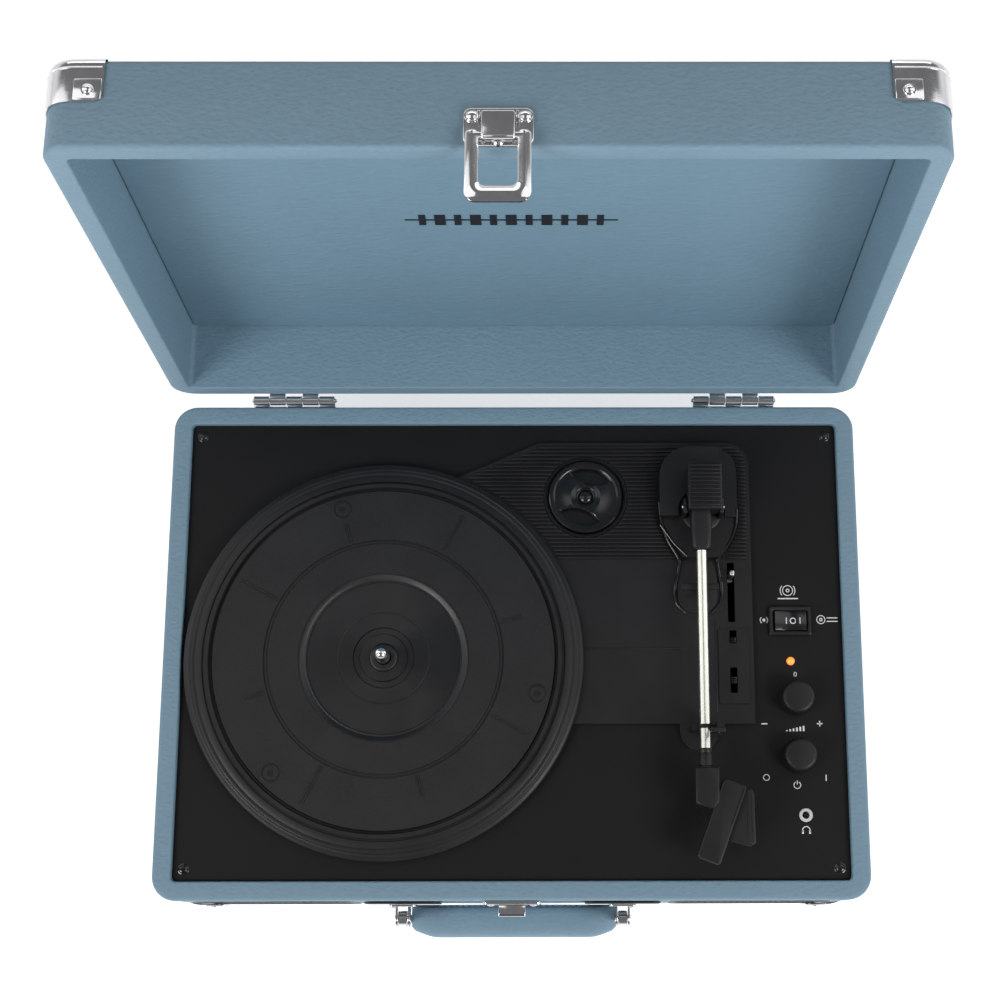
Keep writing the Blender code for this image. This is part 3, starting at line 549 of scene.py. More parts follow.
def screw_head(radius=2.1, height=1.0):
    """A pan-head cross screw that points up."""
    dome = [(0, -0.6), (radius, -0.6), (radius, height * 0.35)]
    for i in range(1, 5):
        a = i * math.pi / 10
        dome.append((radius * 0.96 * math.cos(a), height * (0.35 + 0.65 * math.sin(a))))
    dome.append((0, height))
    head = as_object("head", lathe(dome, 24), IDENTITY)
    cuts = []
    for a in (0.4, 0.4 + math.pi / 2):
        slit = block((radius * 1.15, radius * 0.26, 1.0), (0, 0, height), 0)
        cuts.append(as_object("cross", slit, Matrix.Rotation(a, 4, "Z")))
    return as_shape(carve(head, *cuts))


# ---------------------------------------------------------------- case and lid

WALL = 9.5
CASE_R = 12.0
EDGE_R = 3.0
FOOT_H = round(BASE_LOW.z / MM, 2)
LID_LOW = 0.5
LID_HIGH = 39.7
CEILING = LID_HIGH - 3.0
DECK_Z = RIM - 3.0


def case_rings(profile):
    """Rings around the case for a profile of (inset from the outer face, height)."""
    rings = []
    for inset, z in profile:
        outline = rounded(CASE_W - 2 * inset, CASE_D - 2 * inset, max(CASE_R - inset, 1.2), steps=10)
        rings.append([(x, y, z) for x, y in outline])
    return rings


SPEAKERS = {"left": centre("speaker_grille_left"), "right": centre("speaker_grille_right")}
GRILLE_SIZE = (80.0, 58.0)
SOCKETS = centre("socket_panel")


def build_base_shell():
    outer, inner = 1.9, 1.0
    profile = arc(EDGE_R, FOOT_H + EDGE_R, EDGE_R, 270, 180, 6)
    profile += arc(outer, RIM - outer, outer, 180, 90, 6)
    profile += arc(WALL - inner, RIM - inner, inner, 90, 0, 5)
    profile += [(WALL, FOOT_H)]
    shell = piece("base_cover", skin(case_rings(profile), closed=True), "leatherette", "base",
                  replaces="base_shell")
    cutters = []
    for at in SPEAKERS.values():
        opening = prism(rounded(GRILLE_SIZE[0] + 1.2, GRILLE_SIZE[1] + 1.2, 8.6), -3.2, 6)
        cutters.append(as_object("opening", along_y(opening, (at.x, FRONT, at.z)), CASE))
    carve(shell, *cutters)
    outline = rounded(CASE_W - 2 * WALL - 0.6, CASE_D - 2 * WALL - 0.6, 3)
    panel = prism(outline, FOOT_H + 0.3, FOOT_H + 4, 0)
    piece("base_bottom", panel, "board", "base", replaces="bottom_panel")
    screws = [
        turned_to(screw_head(3.0, 1.2), "X", (sx * x, sy * 108, FOOT_H + 0.3), 180)
        for sx in (-1, 1) for sy in (-1, 1) for x in (8, 120)
    ]
    piece("bottom_screws", together(*screws), "steel", "base")


def build_lid_shell():
    outer, inner = 1.9, 0.8
    profile = [(WALL, CEILING)] + arc(WALL - inner, LID_LOW + inner, inner, 0, -90, 5)
    profile += arc(outer, LID_LOW + outer, outer, 270, 180, 6)
    profile += arc(EDGE_R, LID_HIGH - EDGE_R, EDGE_R, 180, 90, 6)
    piece("lid_cover", skin(case_rings(profile)), "leatherette", "lid", LID, replaces="lid_shell")
    width = CASE_W - 2 * WALL - 1.1
    depth = CASE_D - 2 * WALL - 1.1
    liner = prism(rounded(width, depth, 2.6), CEILING - 1.1, CEILING - 0.1, 0.45, 3, both=True)
    piece("lid_liner", liner, "liner", "lid", LID)


EMBLEM_AT = (1.6, -1.0)


def build_emblem():
    """A plain ornament inside the lid: a fine line with a row of bars on it."""
    bars = [block((98, 1.0, 0.3), (0, 0, 0), 0)]
    for i in range(-5, 6):
        width = 3.2 if i % 2 else 5.0
        bars.append(block((width, 9.6, 0.4), (i * 8.2, 0, 0), 0))
    piece("lid_ornament", moved(together(*bars), (*EMBLEM_AT, CEILING - 1.2)), "emblem", "lid", LID)


def corner_cap():
    """A pressed corner for the lid's front right top corner, in the lid frame."""
    def hull(grow, low, high, edge, inside):
        profile = [(-grow, low)] + arc(edge - grow, high - edge, edge, 180, 90, 8)
        rings = case_rings(profile)
        if inside:
            rings[0] = [(x, y, low - 3) for x, y, z in rings[0]]
        return as_object("cap", skin(rings), IDENTITY)

    x, y, z = CASE_W / 2, FRONT, LID_HIGH
    shell = hull(0.9, 2, z + 0.9, EDGE_R + 0.9, False)
    inner = hull(0.3, 2, z + 0.3, EDGE_R + 0.3, True)
    carve(shell, inner)
    reach, tall = 24.4, 19.6
    across, back, down = x - reach / 2 + 4, y + reach / 2 - 4, z - tall / 2 + 4
    flaps = [
        as_object("flap", block(size, at, 4.4, 5), IDENTITY)
        for size, at in (
            ((reach + 8, 16, tall + 8), (across, y + 1, down)),
            ((16, reach + 8, tall + 8), (x - 1, back, down)),
            ((reach + 8, reach + 8, 14), (across, back, z + 1)),
        )
    ]
    carve(flaps[0], *flaps[1:], operation="UNION")
    bm = as_shape(carve(shell, flaps[0], operation="INTERSECT"))
    bmesh.ops.remove_doubles(bm, verts=bm.verts, dist=0.002)
    inset_x, inset_z = 18.4, 14.6
    rivets = [
        turned_to(rivet(), "X", (x - inset_x, y - 1.3, z - inset_z), 90),
        turned_to(rivet(), "Y", (x + 0.9, y + inset_x, z - inset_z), 90),
        moved(rivet(), (x - inset_x, y + inset_x, z + 0.9)),
    ]
    pad = block((11.0, 0.9, 9.0), (x - inset_x, y - 1.0, z - inset_z + 0.4), 0.4, 3)
    fold = [(x - reach + 0.8, y - 0.8)] + arc(x - CASE_R, y + CASE_R, CASE_R + 0.8, -90, 0, 10)
    fold.append((x + 0.8, y + reach - 0.8))
    bead = tube([(px, py, z - 4.4) for px, py in fold], 0.5, 10)
    return together(bm, pad, bead, *rivets)


def build_corners():
    model = corner_cap()
    flip = Matrix.Translation((0, 0, FOOT_H + LID_HIGH)) @ Matrix.Diagonal((1, 1, -1, 1))
    for sx, side in ((-1, "left"), (1, "right")):
        for sy, end in ((-1, "front"), (1, "rear")):
            mirror = Matrix.Diagonal((sx, -sy, 1, 1))
            piece(f"lid_corner_cap_{end}_{side}", model.copy(), "chrome", "lid", LID @ mirror,
                  replaces=f"lid_corner_{end}_{side}")
            piece(f"base_corner_cap_{end}_{side}", model.copy(), "chrome", "base", CASE @ mirror @ flip,
                  replaces=f"base_corner_{end}_{side}")
    model.free()


def hinge_leaf(sign, first):
    """One leaf and its knuckles around the frame's X axis. The leaf is above it (1) or below (-1)."""
    width, tall, barrel = 43.0, 24.0, 2.6
    y = -2.8
    middle = sign * (barrel + 0.3 + tall / 2)
    shapes = [block((width, 1.2, tall), (0, y, middle), 0.4)]
    for x in (-14, 14):
        for z in (-5, 6):
            shapes.append(turned_to(screw_head(2.0, 0.8), "X", (x, y + 0.6, middle + z), -90))
    step = width / 5
    half = (step - 0.3) / 2
    for i in range(first, 5, 2):
        x = (i - 2) * step
        ring = [
            (0.9, half), (barrel - 0.3, half), (barrel, half - 0.3), (barrel, -half + 0.3),
            (barrel - 0.3, -half), (0.9, -half),
        ]
        shapes.append(along_x(lathe(ring, 32, closed=True), (x, 0, 0)))
        shapes.append(block((2 * half, 1.6, 3.0), (x, y + 0.35, sign * 2.0), 0.3))
    if first == 0:
        for end in (-1, 1):
            cap = lathe([(0, 0.9), (0.7, 0.8), (1.2, 0.3), (1.2, -0.4), (0, -0.4)], 20)
            shapes.append(turned_to(cap, "Y", (end * width / 2, 0, 0), end * 90))
    return together(*shapes)


def build_hinges():
    axis = axis_of("lid_hinge")
    for side in ("left", "right"):
        x = centre(f"hinge_base_{side}").x
        rest = CASE @ Matrix.Translation((x, axis.y, axis.z))
        piece(f"hinge_lower_{side}", hinge_leaf(-1, 0), "chrome", "base", rest,
              replaces=f"hinge_base_{side}")
        piece(f"hinge_upper_{side}", hinge_leaf(1, 1), "chrome", "lid", LID_OPENING @ rest,
              replaces=f"hinge_lid_{side}")


# ---------------------------------------------------------------- latch and handle

def build_latch():
    plate_z, axis_z = 8.8, 12.3
    plate = along_y(prism(rounded(27.4, 16.5, 3.4), 0.3, 1.5, 0.45), (0, FRONT, plate_z))
    rivets = [along_y(rivet(2.4, 1.1, 2.9), (sx * 10.3, FRONT - 1.4, 13.2)) for sx in (-1, 1)]
    rivets.append(along_y(rivet(2.0, 0.7, 2.4), (0, FRONT - 1.4, 2.9)))
    ears = [block((1.2, 4.2, 3.2), (sx * 7.5, FRONT - 3.2, axis_z - 0.1), 0.35) for sx in (-1, 1)]
    pin = along_x(lathe([(0, 7.9), (0.8, 7.8), (0.8, -7.8), (0, -7.9)], 20), (0, FRONT - 4.2, axis_z))
    piece("latch_back", together(plate, *rivets, *ears, pin), "chrome", "lid", LID, replaces="latch_plate")

    front = along_y(prism(rounded(13, 11.4, 0.9), 0.7, 2.0, 0.55), (0, 0, -4.7))
    sides = [block((1.1, 3.4, 11.0), (sx * 5.9, 0.1, -4.8), 0.35) for sx in (-1, 1)]
    roll = [(0, 6.4), (0.8, 6.3), (1.0, 5.9), (1.0, -5.9), (0.8, -6.3), (0, -6.4)]
    lip = along_x(lathe(roll, 20), (0, -1.0, -10.2))
    piece("latch_cap", together(front, *sides, lip), "chrome", "latch_lever", LEVER, replaces="latch_lever")

    # the loop's right half from its top end down, mirrored for the left
    outer = arc(11.0, 0.4, 1.8, 90, 0, 6) + arc(8.3, -24.3, 4.5, 0, -90, 8)
    inner = [(7.5, z) for z in (1.2, 1.1, 1.0, 0.9, 0.8, 0.7, 0.5)] + arc(5.0, -19.3, 2.5, 0, -90, 8)
    outer += [(-x, z) for x, z in reversed(outer)]
    inner += [(-x, z) for x, z in reversed(inner)]
    section = [
        (0, -0.8), (0, -0.1), (0.05, 0.2), (0.42, 1.05), (0.5, 1.1), (0.58, 1.05), (0.95, 0.2), (1, -0.1),
        (1, -0.8),
    ]
    rings = [
        [(o[0] + (i[0] - o[0]) * t, -h, o[1] + (i[1] - o[1]) * t) for t, h in section]
        for o, i in zip(outer, inner)
    ]
    rod = along_x(lathe([(0, 10.8), (1.1, 10.8), (1.1, -10.8), (0, -10.8)], 20))
    piece("latch_loop", together(skin(rings), rod), "chrome", "latch_bail", BAIL, replaces="latch_bail")

    flange_z = RIM - 9.5
    flange = along_y(prism(rounded(29, 15, 2.4), 0.3, 1.9, 0.4), (0, FRONT, flange_z))
    shelf = block((13.4, 6.4, 1.4), (0, FRONT - 4.4, flange_z + 3.8), 0.45)
    hook = block((13.4, 1.4, 7.0), (0, FRONT - 7.0, flange_z + 1.0), 0.45)
    studs = [along_y(rivet(1.6, 0.6, 2.1), (sx * 10.6, FRONT - 1.9, flange_z - 0.6)) for sx in (-1, 1)]
    piece("catch", together(flange, shelf, hook, *studs), "chrome", "base", replaces="catch_hook")


def grip_rings(half_length, steps=34):
    """The padded grip as rings along X: full in the middle, drawn in at both ends."""
    rings = []
    for i in range(steps + 1):
        t = -1 + 2 * i / steps
        x = half_length * math.sin(t * math.pi / 2)
        beyond = max(0.0, (abs(x) - 40) / (half_length - 40))
        tip = max(0.0, (abs(x) - half_length + 2) / 2)
        deep = 8.3 * (1 - 0.25 * beyond ** 1.4) * (1 - 0.1 * tip ** 2)
        tall = 8.9 * (1 - 0.2 * beyond ** 2) * (1 - 0.1 * tip ** 2)
        back = 9.1
        ring = []
        for k in range(28):
            a = 2 * math.pi * k / 28
            c, s = math.cos(a), math.sin(a)
            across = math.copysign(abs(c) ** 0.55, c) * deep
            up = math.copysign(abs(s) ** 0.62, s) * tall
            ring.append((x, back - deep + across, up))
        rings.append(ring)
    return rings


def build_handle():
    axis = axis_of("handle_swing")
    grip_at = centre("handle_grip") - axis
    grip = piece("padded_grip", moved(skin(grip_rings(52.7)), grip_at), "grip", "handle", HANDLE,
                 replaces="handle_grip")
    stitches = []
    for i in range(-12, 13):
        for z in (-6.2, 6.2):
            stitch = lathe([(0, 1.25), (0.28, 1.0), (0.34, 0), (0.28, -1.0), (0, -1.25)], 8)
            stitches.append(along_x(stitch, (grip_at.x + i * 3.1, grip_at.y + 8.6, grip_at.z + z)))
    piece("grip_stitches", together(*stitches), "leatherette", "handle", HANDLE)

    for side, sx in (("left", -1), ("right", 1)):
        x = centre(f"handle_bracket_{side}").x
        backing = along_y(prism(rounded(38, 24, 4), 0.3, 1.25, 0.35), (x, FRONT, axis.z))
        piece(f"handle_backing_{side}", backing, "black", "base", replaces=f"handle_plate_{side}")
        shapes = [along_y(prism(rounded(14, 15, 2.2), 1.6, 2.6, 0.3), (x, FRONT, axis.z))]
        reach = FRONT - 1.9 - axis.y
        for ear in (-3.1, 3.1):
            outline = [(0, -4.5), (0, 4.5)] + arc(reach, 0, 4.5, 90, -90, 12)
            cheek = prism([(-u, v) for u, v in outline], -0.5, 0.5, 0.2, 2, both=True)
            cheek.transform(Matrix(((0, 0, 1, 0), (1, 0, 0, 0), (0, 1, 0, 0), (0, 0, 0, 1))))
            shapes.append(moved(cheek, (x + ear, FRONT - 1.9, axis.z)))
        half_pin = [(0, 4.1), (1.7, 4.0), (1.9, 3.7), (1.2, 3.6)]
        pin = half_pin + [(radius, -height) for radius, height in reversed(half_pin)]
        shapes.append(along_x(lathe(pin, 20), (x, axis.y, axis.z)))
        for z in (-4.6, 4.6):
            shapes.append(along_y(rivet(1.5, 0.6, 1.9), (x + sx * 4.6, FRONT - 2.6, axis.z + z)))
        piece(f"handle_clevis_{side}", together(*shapes), "chrome", "base",
              replaces=f"handle_bracket_{side}")

        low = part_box(f"handle_loop_{side}")[0].z / MM - axis.z
        ring = [(1.5, 2.3), (3.5, 2.3), (3.9, 1.9), (3.9, -1.9), (3.5, -2.3), (1.5, -2.3)]
        eye = lathe(ring, 32, closed=True)
        strap = block((4.6, 4.2, -low - 2.4), (0, 0, (low - 3.0) / 2), 0.9)
        stub = lathe([(0, 2.9), (1.9, 2.8), (2.2, 2.4), (2.2, -2.0), (0, -2.0)], 20)
        loop = together(along_x(eye), strap, along_x(stub, (0, 0, grip_at.z)))
        piece(f"handle_strap_{side}", moved(loop, (x, 0, 0)), "chrome", "handle", HANDLE,
              replaces=f"handle_loop_{side}")


# ---------------------------------------------------------------- turntable

PLATTER = axis_of("platter_spin")
ADAPTER = centre("adapter_45")
PLATE_Z = RIM - 0.6


def build_platter():
    at = (PLATTER.x, PLATTER.y, RIM)
    outer = [
        (86.6, 4.7), (86.9, 4.3), (87.1, 3.4), (87.9, 3.4), (88.1, 5.5), (88.5, 6.1), (90.2, 6.1),
        (90.7, 5.5), (91.0, 3.5), (91.6, 3.5), (91.9, 4.0), (95.2, 3.9), (95.5, 3.7), (95.9, 3.9),
        (97.4, 3.8), (97.7, 3.6), (98.1, 3.75), (99.0, 3.5), (99.4, 3.0), (100.6, 2.6), (101.2, 2.2),
        (101.5, 1.5), (101.5, 0.8), (101.2, 0.6), (57.5, 0.6), (57.5, -8.0), (55.0, -8.0), (55.0, 0.6),
        (42.0, 0.6), (42.0, 4.2), (60.0, 4.2), (86.6, 4.2),
    ]
    piece("platter_rim", lathe(outer, 192, closed=True, at=at), "platter", "platter", replaces="platter")
    mat = [
        (42.9, 4.25), (86.5, 4.25), (86.5, 4.8), (60.9, 4.8), (60.7, 4.3), (60.2, 4.3), (60.0, 4.8),
        (59.3, 4.8), (59.1, 4.5), (58.8, 4.5), (58.6, 4.8), (42.9, 4.8),
    ]
    shapes = [lathe(mat, 192, closed=True, at=at)]
    for i in range(8):
        angle = 16.7 + 45 * i
        length = 21.0 if i % 2 else 10.5
        for offset in (-0.7, 0.7):
            tick = block((length, 0.55, 0.6), (62.2 + length / 2, offset, 4.95), 0.2, 2)
            shapes.append(turned_to(tick, "Z", at, angle))
    piece("platter_mat", together(*shapes), "mat", "platter")

    inner = [
        (3.95, 0.6), (3.95, 5.0), (6.4, 5.0), (7.0, 4.6), (7.4, 3.7), (11.9, 3.6), (12.3, 2.4), (15.2, 2.4),
        (15.6, 3.3), (22.9, 3.3), (23.1, 3.15), (23.4, 3.15), (23.6, 3.3), (38.6, 3.3), (38.9, 3.7),
        (39.4, 3.8), (39.9, 3.6), (40.3, 3.75), (42.3, 5.15), (42.9, 5.2), (42.95, 4.6), (42.95, 0.7),
    ]
    piece("platter_label_disc", lathe(inner, 192, closed=True, at=at), "grooved", "platter")

    hole_rims_and_shade_discs = []
    for i in range(3):
        a = math.radians(106.5 + 120 * i)
        place = (at[0] + 80 * math.cos(a), at[1] + 80 * math.sin(a), at[2] + 4.8)
        ring = [(1.7, -0.4), (5.0, -0.4), (5.0, 0.05), (4.7, 0.2), (4.2, 0.2), (3.4, -0.05), (2.0, -0.1)]
        hole_rims_and_shade_discs.append(lathe(ring, 32, closed=True, at=place))
        # the hole itself is not cut: a flat dark disc at the surface is painted shade in place of the hole's
        # shaded depth
        hole_rims_and_shade_discs.append(lathe([(0, 0.02), (1.75, 0.02), (1.75, -0.3), (0, -0.3)], 24, at=place))
    piece("platter_screw_holes", together(*hole_rims_and_shade_discs), "hole_rims_and_shade", "platter")

    spindle = [
        (0, 20), (1.1, 19.85), (2.1, 19.3), (2.9, 18.4), (3.4, 17.2), (3.6, 15.8), (3.6, -15), (6, -15),
        (6, -18), (0, -18),
    ]
    piece("centre_spindle", lathe(spindle, 48, at=at), "chrome", "base", replaces="spindle")


def inside_plate(x, y):
    """Whether ribs can stand here on the mechanism plate."""
    slant = 107.2 - (13.8 - x) * 21.6 / 49.6
    on_plate = x < 120.4 and y < slant - 2.4
    if x > 110.6 and y > 95.2:
        on_plate = on_plate and math.hypot(x - 110.6, y - 95.2) < 9.9
    off_platter = math.hypot(x - PLATTER.x, y - PLATTER.y) > 102.6
    off_adapter = math.hypot(x - ADAPTER.x, y - ADAPTER.y) > 22.0
    left = 74.6 + max(0.0, 72 - y) ** 1.6 * 0.052
    right = 116.2 - max(0.0, 67 - y) ** 1.6 * 0.062
    off_arm = x < left or x > right or y > 103.6
    if x < 91 and y > 87.2:
        off_arm = off_arm or math.hypot(x - 91, y - 87.2) > 16.4
    if x > 104.3 and y > 91.7:
        off_arm = off_arm or math.hypot(x - 104.3, y - 91.7) > 11.9
    return on_plate and off_platter and off_adapter and off_arm


def build_mechanism_plate():
    dress(NODES["mechanism_plate"], "black", "base")
    soften(NODES["mechanism_plate"], 0.35)
    ribs = []
    step = 0.5
    for i in range(30):
        y = 104.4 - 2.03 * i
        x, start = -40.0, None
        while x < 122.5:
            inside = inside_plate(x, y)
            if inside and start is None:
                start = x
            if not inside and start is not None:
                if x - start > 1.5:
                    ribs.append(block((x - start, 1.1, 1.5), ((x + start) / 2, y, PLATE_Z + 0.45), 0.25, 2))
                start = None
            x += step
    piece("plate_ribs", together(*ribs), "black", "base")
    lines = [
        block((66, 0.8, 0.5), (54.0, -1.6, PLATE_Z + 0.05), 0.2, 2),
        block((0.8, 46.0, 0.5), (103.4, -11.0, PLATE_Z + 0.05), 0.2, 2),
    ]
    piece("plate_steps", together(*lines), "black", "base")
    build_arm_bezel()
    ring = [(20.3, -0.2), (21.4, -0.2), (21.7, 0.2), (21.4, 0.6), (20.6, 0.6), (20.3, 0.3)]
    rim = lathe(ring, 96, closed=True, at=(ADAPTER.x, ADAPTER.y, PLATE_Z))
    piece("adapter_pocket_rim", rim, "gloss", "base")


def curve_through(points, steps=8):
    """A smooth line through points (Catmull-Rom)."""
    points = [Vector(p) for p in points]
    points = [2 * points[0] - points[1]] + points + [2 * points[-1] - points[-2]]
    line = []
    for a, b, c, d in zip(points, points[1:], points[2:], points[3:]):
        for i in range(steps):
            t = i / steps
            square = (2 * a - 5 * b + 4 * c - d) * t * t
            cube = (3 * b - a - 3 * c + d) * t ** 3
            line.append(0.5 * (2 * b + (c - a) * t + square + cube))
    line.append(points[-2])
    return line


def build_arm_bezel():
    """Glossy raised edges that close in on both sides of the arm, in front of its cover."""
    z = RIM + 0.6
    left = [
        (75.4, 74, z + 4), (76.4, 64, z + 3.4), (79.6, 54, z + 2.4), (85.0, 44.5, z + 1.2), (84.8, 38, z),
        (83.0, 30, z), (83.6, 22, z - 0.6), (88.5, 16.6, z - 1.1),
    ]
    right = [
        (115.2, 70, z + 4), (114.4, 61, z + 3.4), (111.2, 53, z + 2.4), (105.4, 45.0, z + 1.2),
        (105.6, 38, z), (107.0, 30, z), (106.0, 22, z - 0.6), (101.2, 16.6, z - 1.1),
    ]
    edges = [tube(curve_through(line), 0.75, 10) for line in (left, right)]
    edges.append(tube([(75.8, 62.0, z + 3.6), (82.5, 52.5, z + 3.0), (89.5, 45.5, z + 2.6)], 0.6, 10))
    piece("arm_bezel", together(*edges), "gloss", "base")
    tongue = prism(rounded(20.6, 30.0, 9.0, 94.6, 31.5), PLATE_Z - 0.2, PLATE_Z + 0.55, 0.3)
    piece("arm_bezel_tongue", tongue, "black", "base")


def build_adapter():
    at = (ADAPTER.x, ADAPTER.y, RIM)
    profile = [
        (3.7, -5.0), (3.7, -0.6), (4.0, -0.3), (4.6, -0.2), (5.0, 0.5), (5.4, 0.7), (7.4, 0.7), (7.8, 0.85),
        (8.2, 0.7), (15.9, 0.75), (16.3, 1.1), (16.9, 1.2), (18.4, 1.2), (19.0, 0.7), (19.0, -4.8),
        (18.6, -5.2), (4.0, -5.2),
    ]
    disc = lathe(profile, 96, closed=True, at=at)
    body = piece("adapter_disc", disc, "gloss", "adapter", replaces="adapter_45")
    cutters = []
    for degrees in (76, 253):
        lens = arc(0, 0, 15.4, -45.5, 45.5, 14) + arc(23.5, 0, 16.8, 139.5, 220.5, 10)[1:-1]
        cutters.append(as_object("finger", turned_to(prism(lens, -3.6, 5), "Z", at, degrees), CASE))
    carve(body, *cutters)
    hub = lathe([(3.3, -1.1), (3.3, 0.2), (2.7, 0.9), (1.5, 1.3), (0, 1.4)], 32, at=at)
    piece("pocket_hub", hub, "gloss", "base")


# ---------------------------------------------------------------- tonearm

TUBE_X = -1.3
HEAD_ANGLE = 20.5


def build_arm():
    """In the arm frame: the origin is on the lift axis, the tube runs towards -Y."""
    block_shape = block((17.4, 24.5, 11.9), (0.6, 9.75, 1.65), 1.1, 4)
    ribs = [block((15.8, 1.2, 1.3), (0.6, -0.4 + 2.05 * i, 7.85), 0.35, 2) for i in range(11)]
    neck_rings = []
    neck = (
        (-1.0, 5.5, 4.0), (-2.2, 5.5, 4.0), (-14.0, 5.3, 3.9), (-20.8, 5.0, 3.7), (-22.1, 4.4, 3.2),
        (-22.5, 3.4, 2.9),
    )
    for y, wide, tall in neck:
        outline = rounded(2 * wide, 2 * tall, 2.4, steps=5)
        neck_rings.append([(TUBE_X + x, y, z) for x, z in outline])
    axles = [
        along_x(lathe([(1.6, low), (3.0, low), (3.0, high), (1.6, high)], 24, closed=True))
        for low, high in ((6.0, 7.65), (-7.65, -6.0))
    ]
    piece("arm_rear", together(block_shape, *ribs, skin(neck_rings), *axles), "black", "arm", ARM,
          replaces="arm_block")

    on_tube = (TUBE_X, 0, 0)
    rod = lathe([(1.9, 22.8), (2.7, 22.8), (2.7, 122.5), (1.9, 122.5)], 48, closed=True)
    piece("arm_rod", along_y(rod, on_tube), "tube", "arm", ARM, replaces="arm_tube")
    band = lathe([(2.65, 110.6), (3.1, 110.8), (3.1, 112.6), (2.65, 112.8)], 40, closed=True)
    piece("arm_rest_band", along_y(band, on_tube), "rubber", "arm", ARM)

    collar = [
        (0, 122.6), (2.9, 122.6), (3.4, 123.0), (3.4, 124.6), (3.2, 124.9), (3.4, 125.2), (3.4, 131.0),
        (3.0, 131.4), (3.0, 132.2), (0, 132.2),
    ]
    shell = [along_y(lathe(collar, 40), on_tube)]
    wedge = [(-5.5, -149.6), (3.0, -152.4), (6.3, -149.0), (6.3, -132.1), (-5.5, -132.1)]
    shell.append(moved(prism(wedge, -4.0, 4.3, 0.9, 3, both=True), on_tube))
    hood = prism(rounded(12, 40.5, 1.6, steps=4), -3.4, 4.2, 0.8, 3)
    lip = block((0.8, 19.0, 1.2), (5.2, 9.6, 4.2), 0.3)
    for part in (hood, lip):
        shell.append(turned_to(part, "Z", (5.8, -158.4, 0), -HEAD_ANGLE))
    lift = [(8.8, -167.6), (19.4, -170.4), (22.2, -168.6), (22.0, -145.0), (20.8, -142.6), (17.4, -143.0)]
    shell.append(prism(lift, 0.7, 1.9, 0.45, 3, both=True))
    for x in (18.6, 20.8):
        shell.append(tube([(x, -146.0, 1.9), (x, -168.0, 1.9)], 0.35, 10))
    piece("arm_head", together(*shell), "black", "arm", ARM, replaces="headshell")

    stylus_at = (1.2, -168.5)
    body = turned_to(block((8.5, 15, 3.2), (0, 3, -5.5), 0.6), "Z", (*stylus_at, 0), -HEAD_ANGLE)
    piece("cartridge_body", body, "gloss", "arm", ARM, replaces="cartridge")
    cantilever = tube([(1.9, -166.6, -6.9), (1.2, -168.5, -7.9)], 0.35, 10)
    piece("stylus_guard", cantilever, "red", "arm", ARM)

    swivel = Vector((0, 0, -15.5))
    turned = [(0, 6.4), (9.4, 6.4), (10.3, 5.9), (10.4, 3.95), (3.0, 3.95), (3.0, -13.8), (0, -13.8)]
    disc = lathe(turned, 64)
    ears = []
    for sx in (-1, 1):
        ears.append(block((2.0, 8.0, 14.6), (sx * 9.2, 0, 12.6), 0.7, 3))
        ears.append(along_x(lathe([(0, 1.6), (1.2, 1.6), (1.2, -1.6), (0, -1.6)], 20), (sx * 7.4, 0, 15.5)))
    piece("arm_swivel", moved(together(disc, *ears), swivel), "black", "arm_yoke", ARM, replaces="arm_yoke")
    pins = []
    for sx in (-1, 1):
        dome = lathe([(0, 0.75), (0.9, 0.6), (1.4, 0.1), (1.4, -0.5), (0, -0.5)], 24)
        pins.append(turned_to(dome, "Y", (sx * 10.2, 0, 0), sx * 90))
    piece("arm_pivot_pins", together(*pins), "chrome", "arm_yoke", ARM)


def build_arm_controls():
    at = axis_of("arm_clip_turn")
    post = block((2.8, 2.4, 12.8), (0, -3.2, 5.0), 0.6)
    finger = block((5.4, 2.4, 1.4), (-3.2, -3.2, 10.7), 0.5)
    pin = along_y(lathe([(0, -1.2), (0.9, -1.2), (0.9, 4.6), (0.6, 4.9), (0, 4.9)], 20))
    piece("rest_clip", moved(together(post, finger, pin), at), "black", "arm_clip", replaces="arm_clip")

    low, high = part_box("lift_platform")
    top = high.z / MM
    place = centre("lift_platform")
    pad = block((19, 3, 2.1), (place.x, place.y, top - 1.1), 0.5)
    foot = low.z / MM
    stem = lathe([(0, top - 1.5), (1.6, top - 1.5), (1.6, foot), (0, foot)], 24, at=(place.x, place.y, 0))
    piece("arm_lifter", together(pad, stem), "rubber", "lift_platform", replaces="lift_platform")

    cue = axis_of("cue_lever_turn")
    lever = block((2.4, 3.0, 17.8), (0, 0, 7.0), 0.8)
    hub = along_x(lathe([(0, 1.2), (3.2, 1.2), (3.2, -1.2), (0, -1.2)], 28))
    piece("cue_handle", moved(together(lever, hub), cue), "steel", "cue_lever", replaces="cue_lever")

    for name, length in (("speed_slider", 3.6), ("autostop_slider", 2.6)):
        at = centre(name)
        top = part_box(name)[1].z / MM
        grip = [block((2.8, length, 5.4), (at.x, at.y, top - 4.3), 0.25)]
        for i in range(3):
            y = at.y + (i - 1) * length * 0.3
            grip.append(block((2.6, length * 0.17, 1.6), (at.x, y, top - 0.8), 0.12, 2))
        piece(name.replace("slider", "switch"), together(*grip), "gloss", name, replaces=name)


# ---------------------------------------------------------------- controls

def build_knob(name, node):
    at = centre(node)
    fluted = []
    profile = [
        (0.0, 8.0), (6.2, 8.0), (7.2, 7.75), (7.9, 7.0), (8.15, 5.5), (8.3, 1.0), (8.7, -0.2), (8.7, -2.7),
        (3.0, -2.7), (3.0, -11.6), (0, -11.6),
    ]
    flutes = 36
    steps = 4 * flutes
    for radius, height in profile:
        if radius < 1e-6:
            fluted.append([(0, 0, height)])
            continue
        ring = []
        for k in range(steps):
            a = 2 * math.pi * k / steps
            ripple = 0.16 * math.cos(flutes * a) if 0.5 < height < 7.2 and radius > 7.5 else 0
            r = radius + ripple
            ring.append((r * math.cos(a), r * math.sin(a), height))
        fluted.append(ring)
    body = moved(skin(fluted, caps=False), (at.x, at.y, RIM))
    piece(f"{name}_cap", body, "black", node, replaces=node)


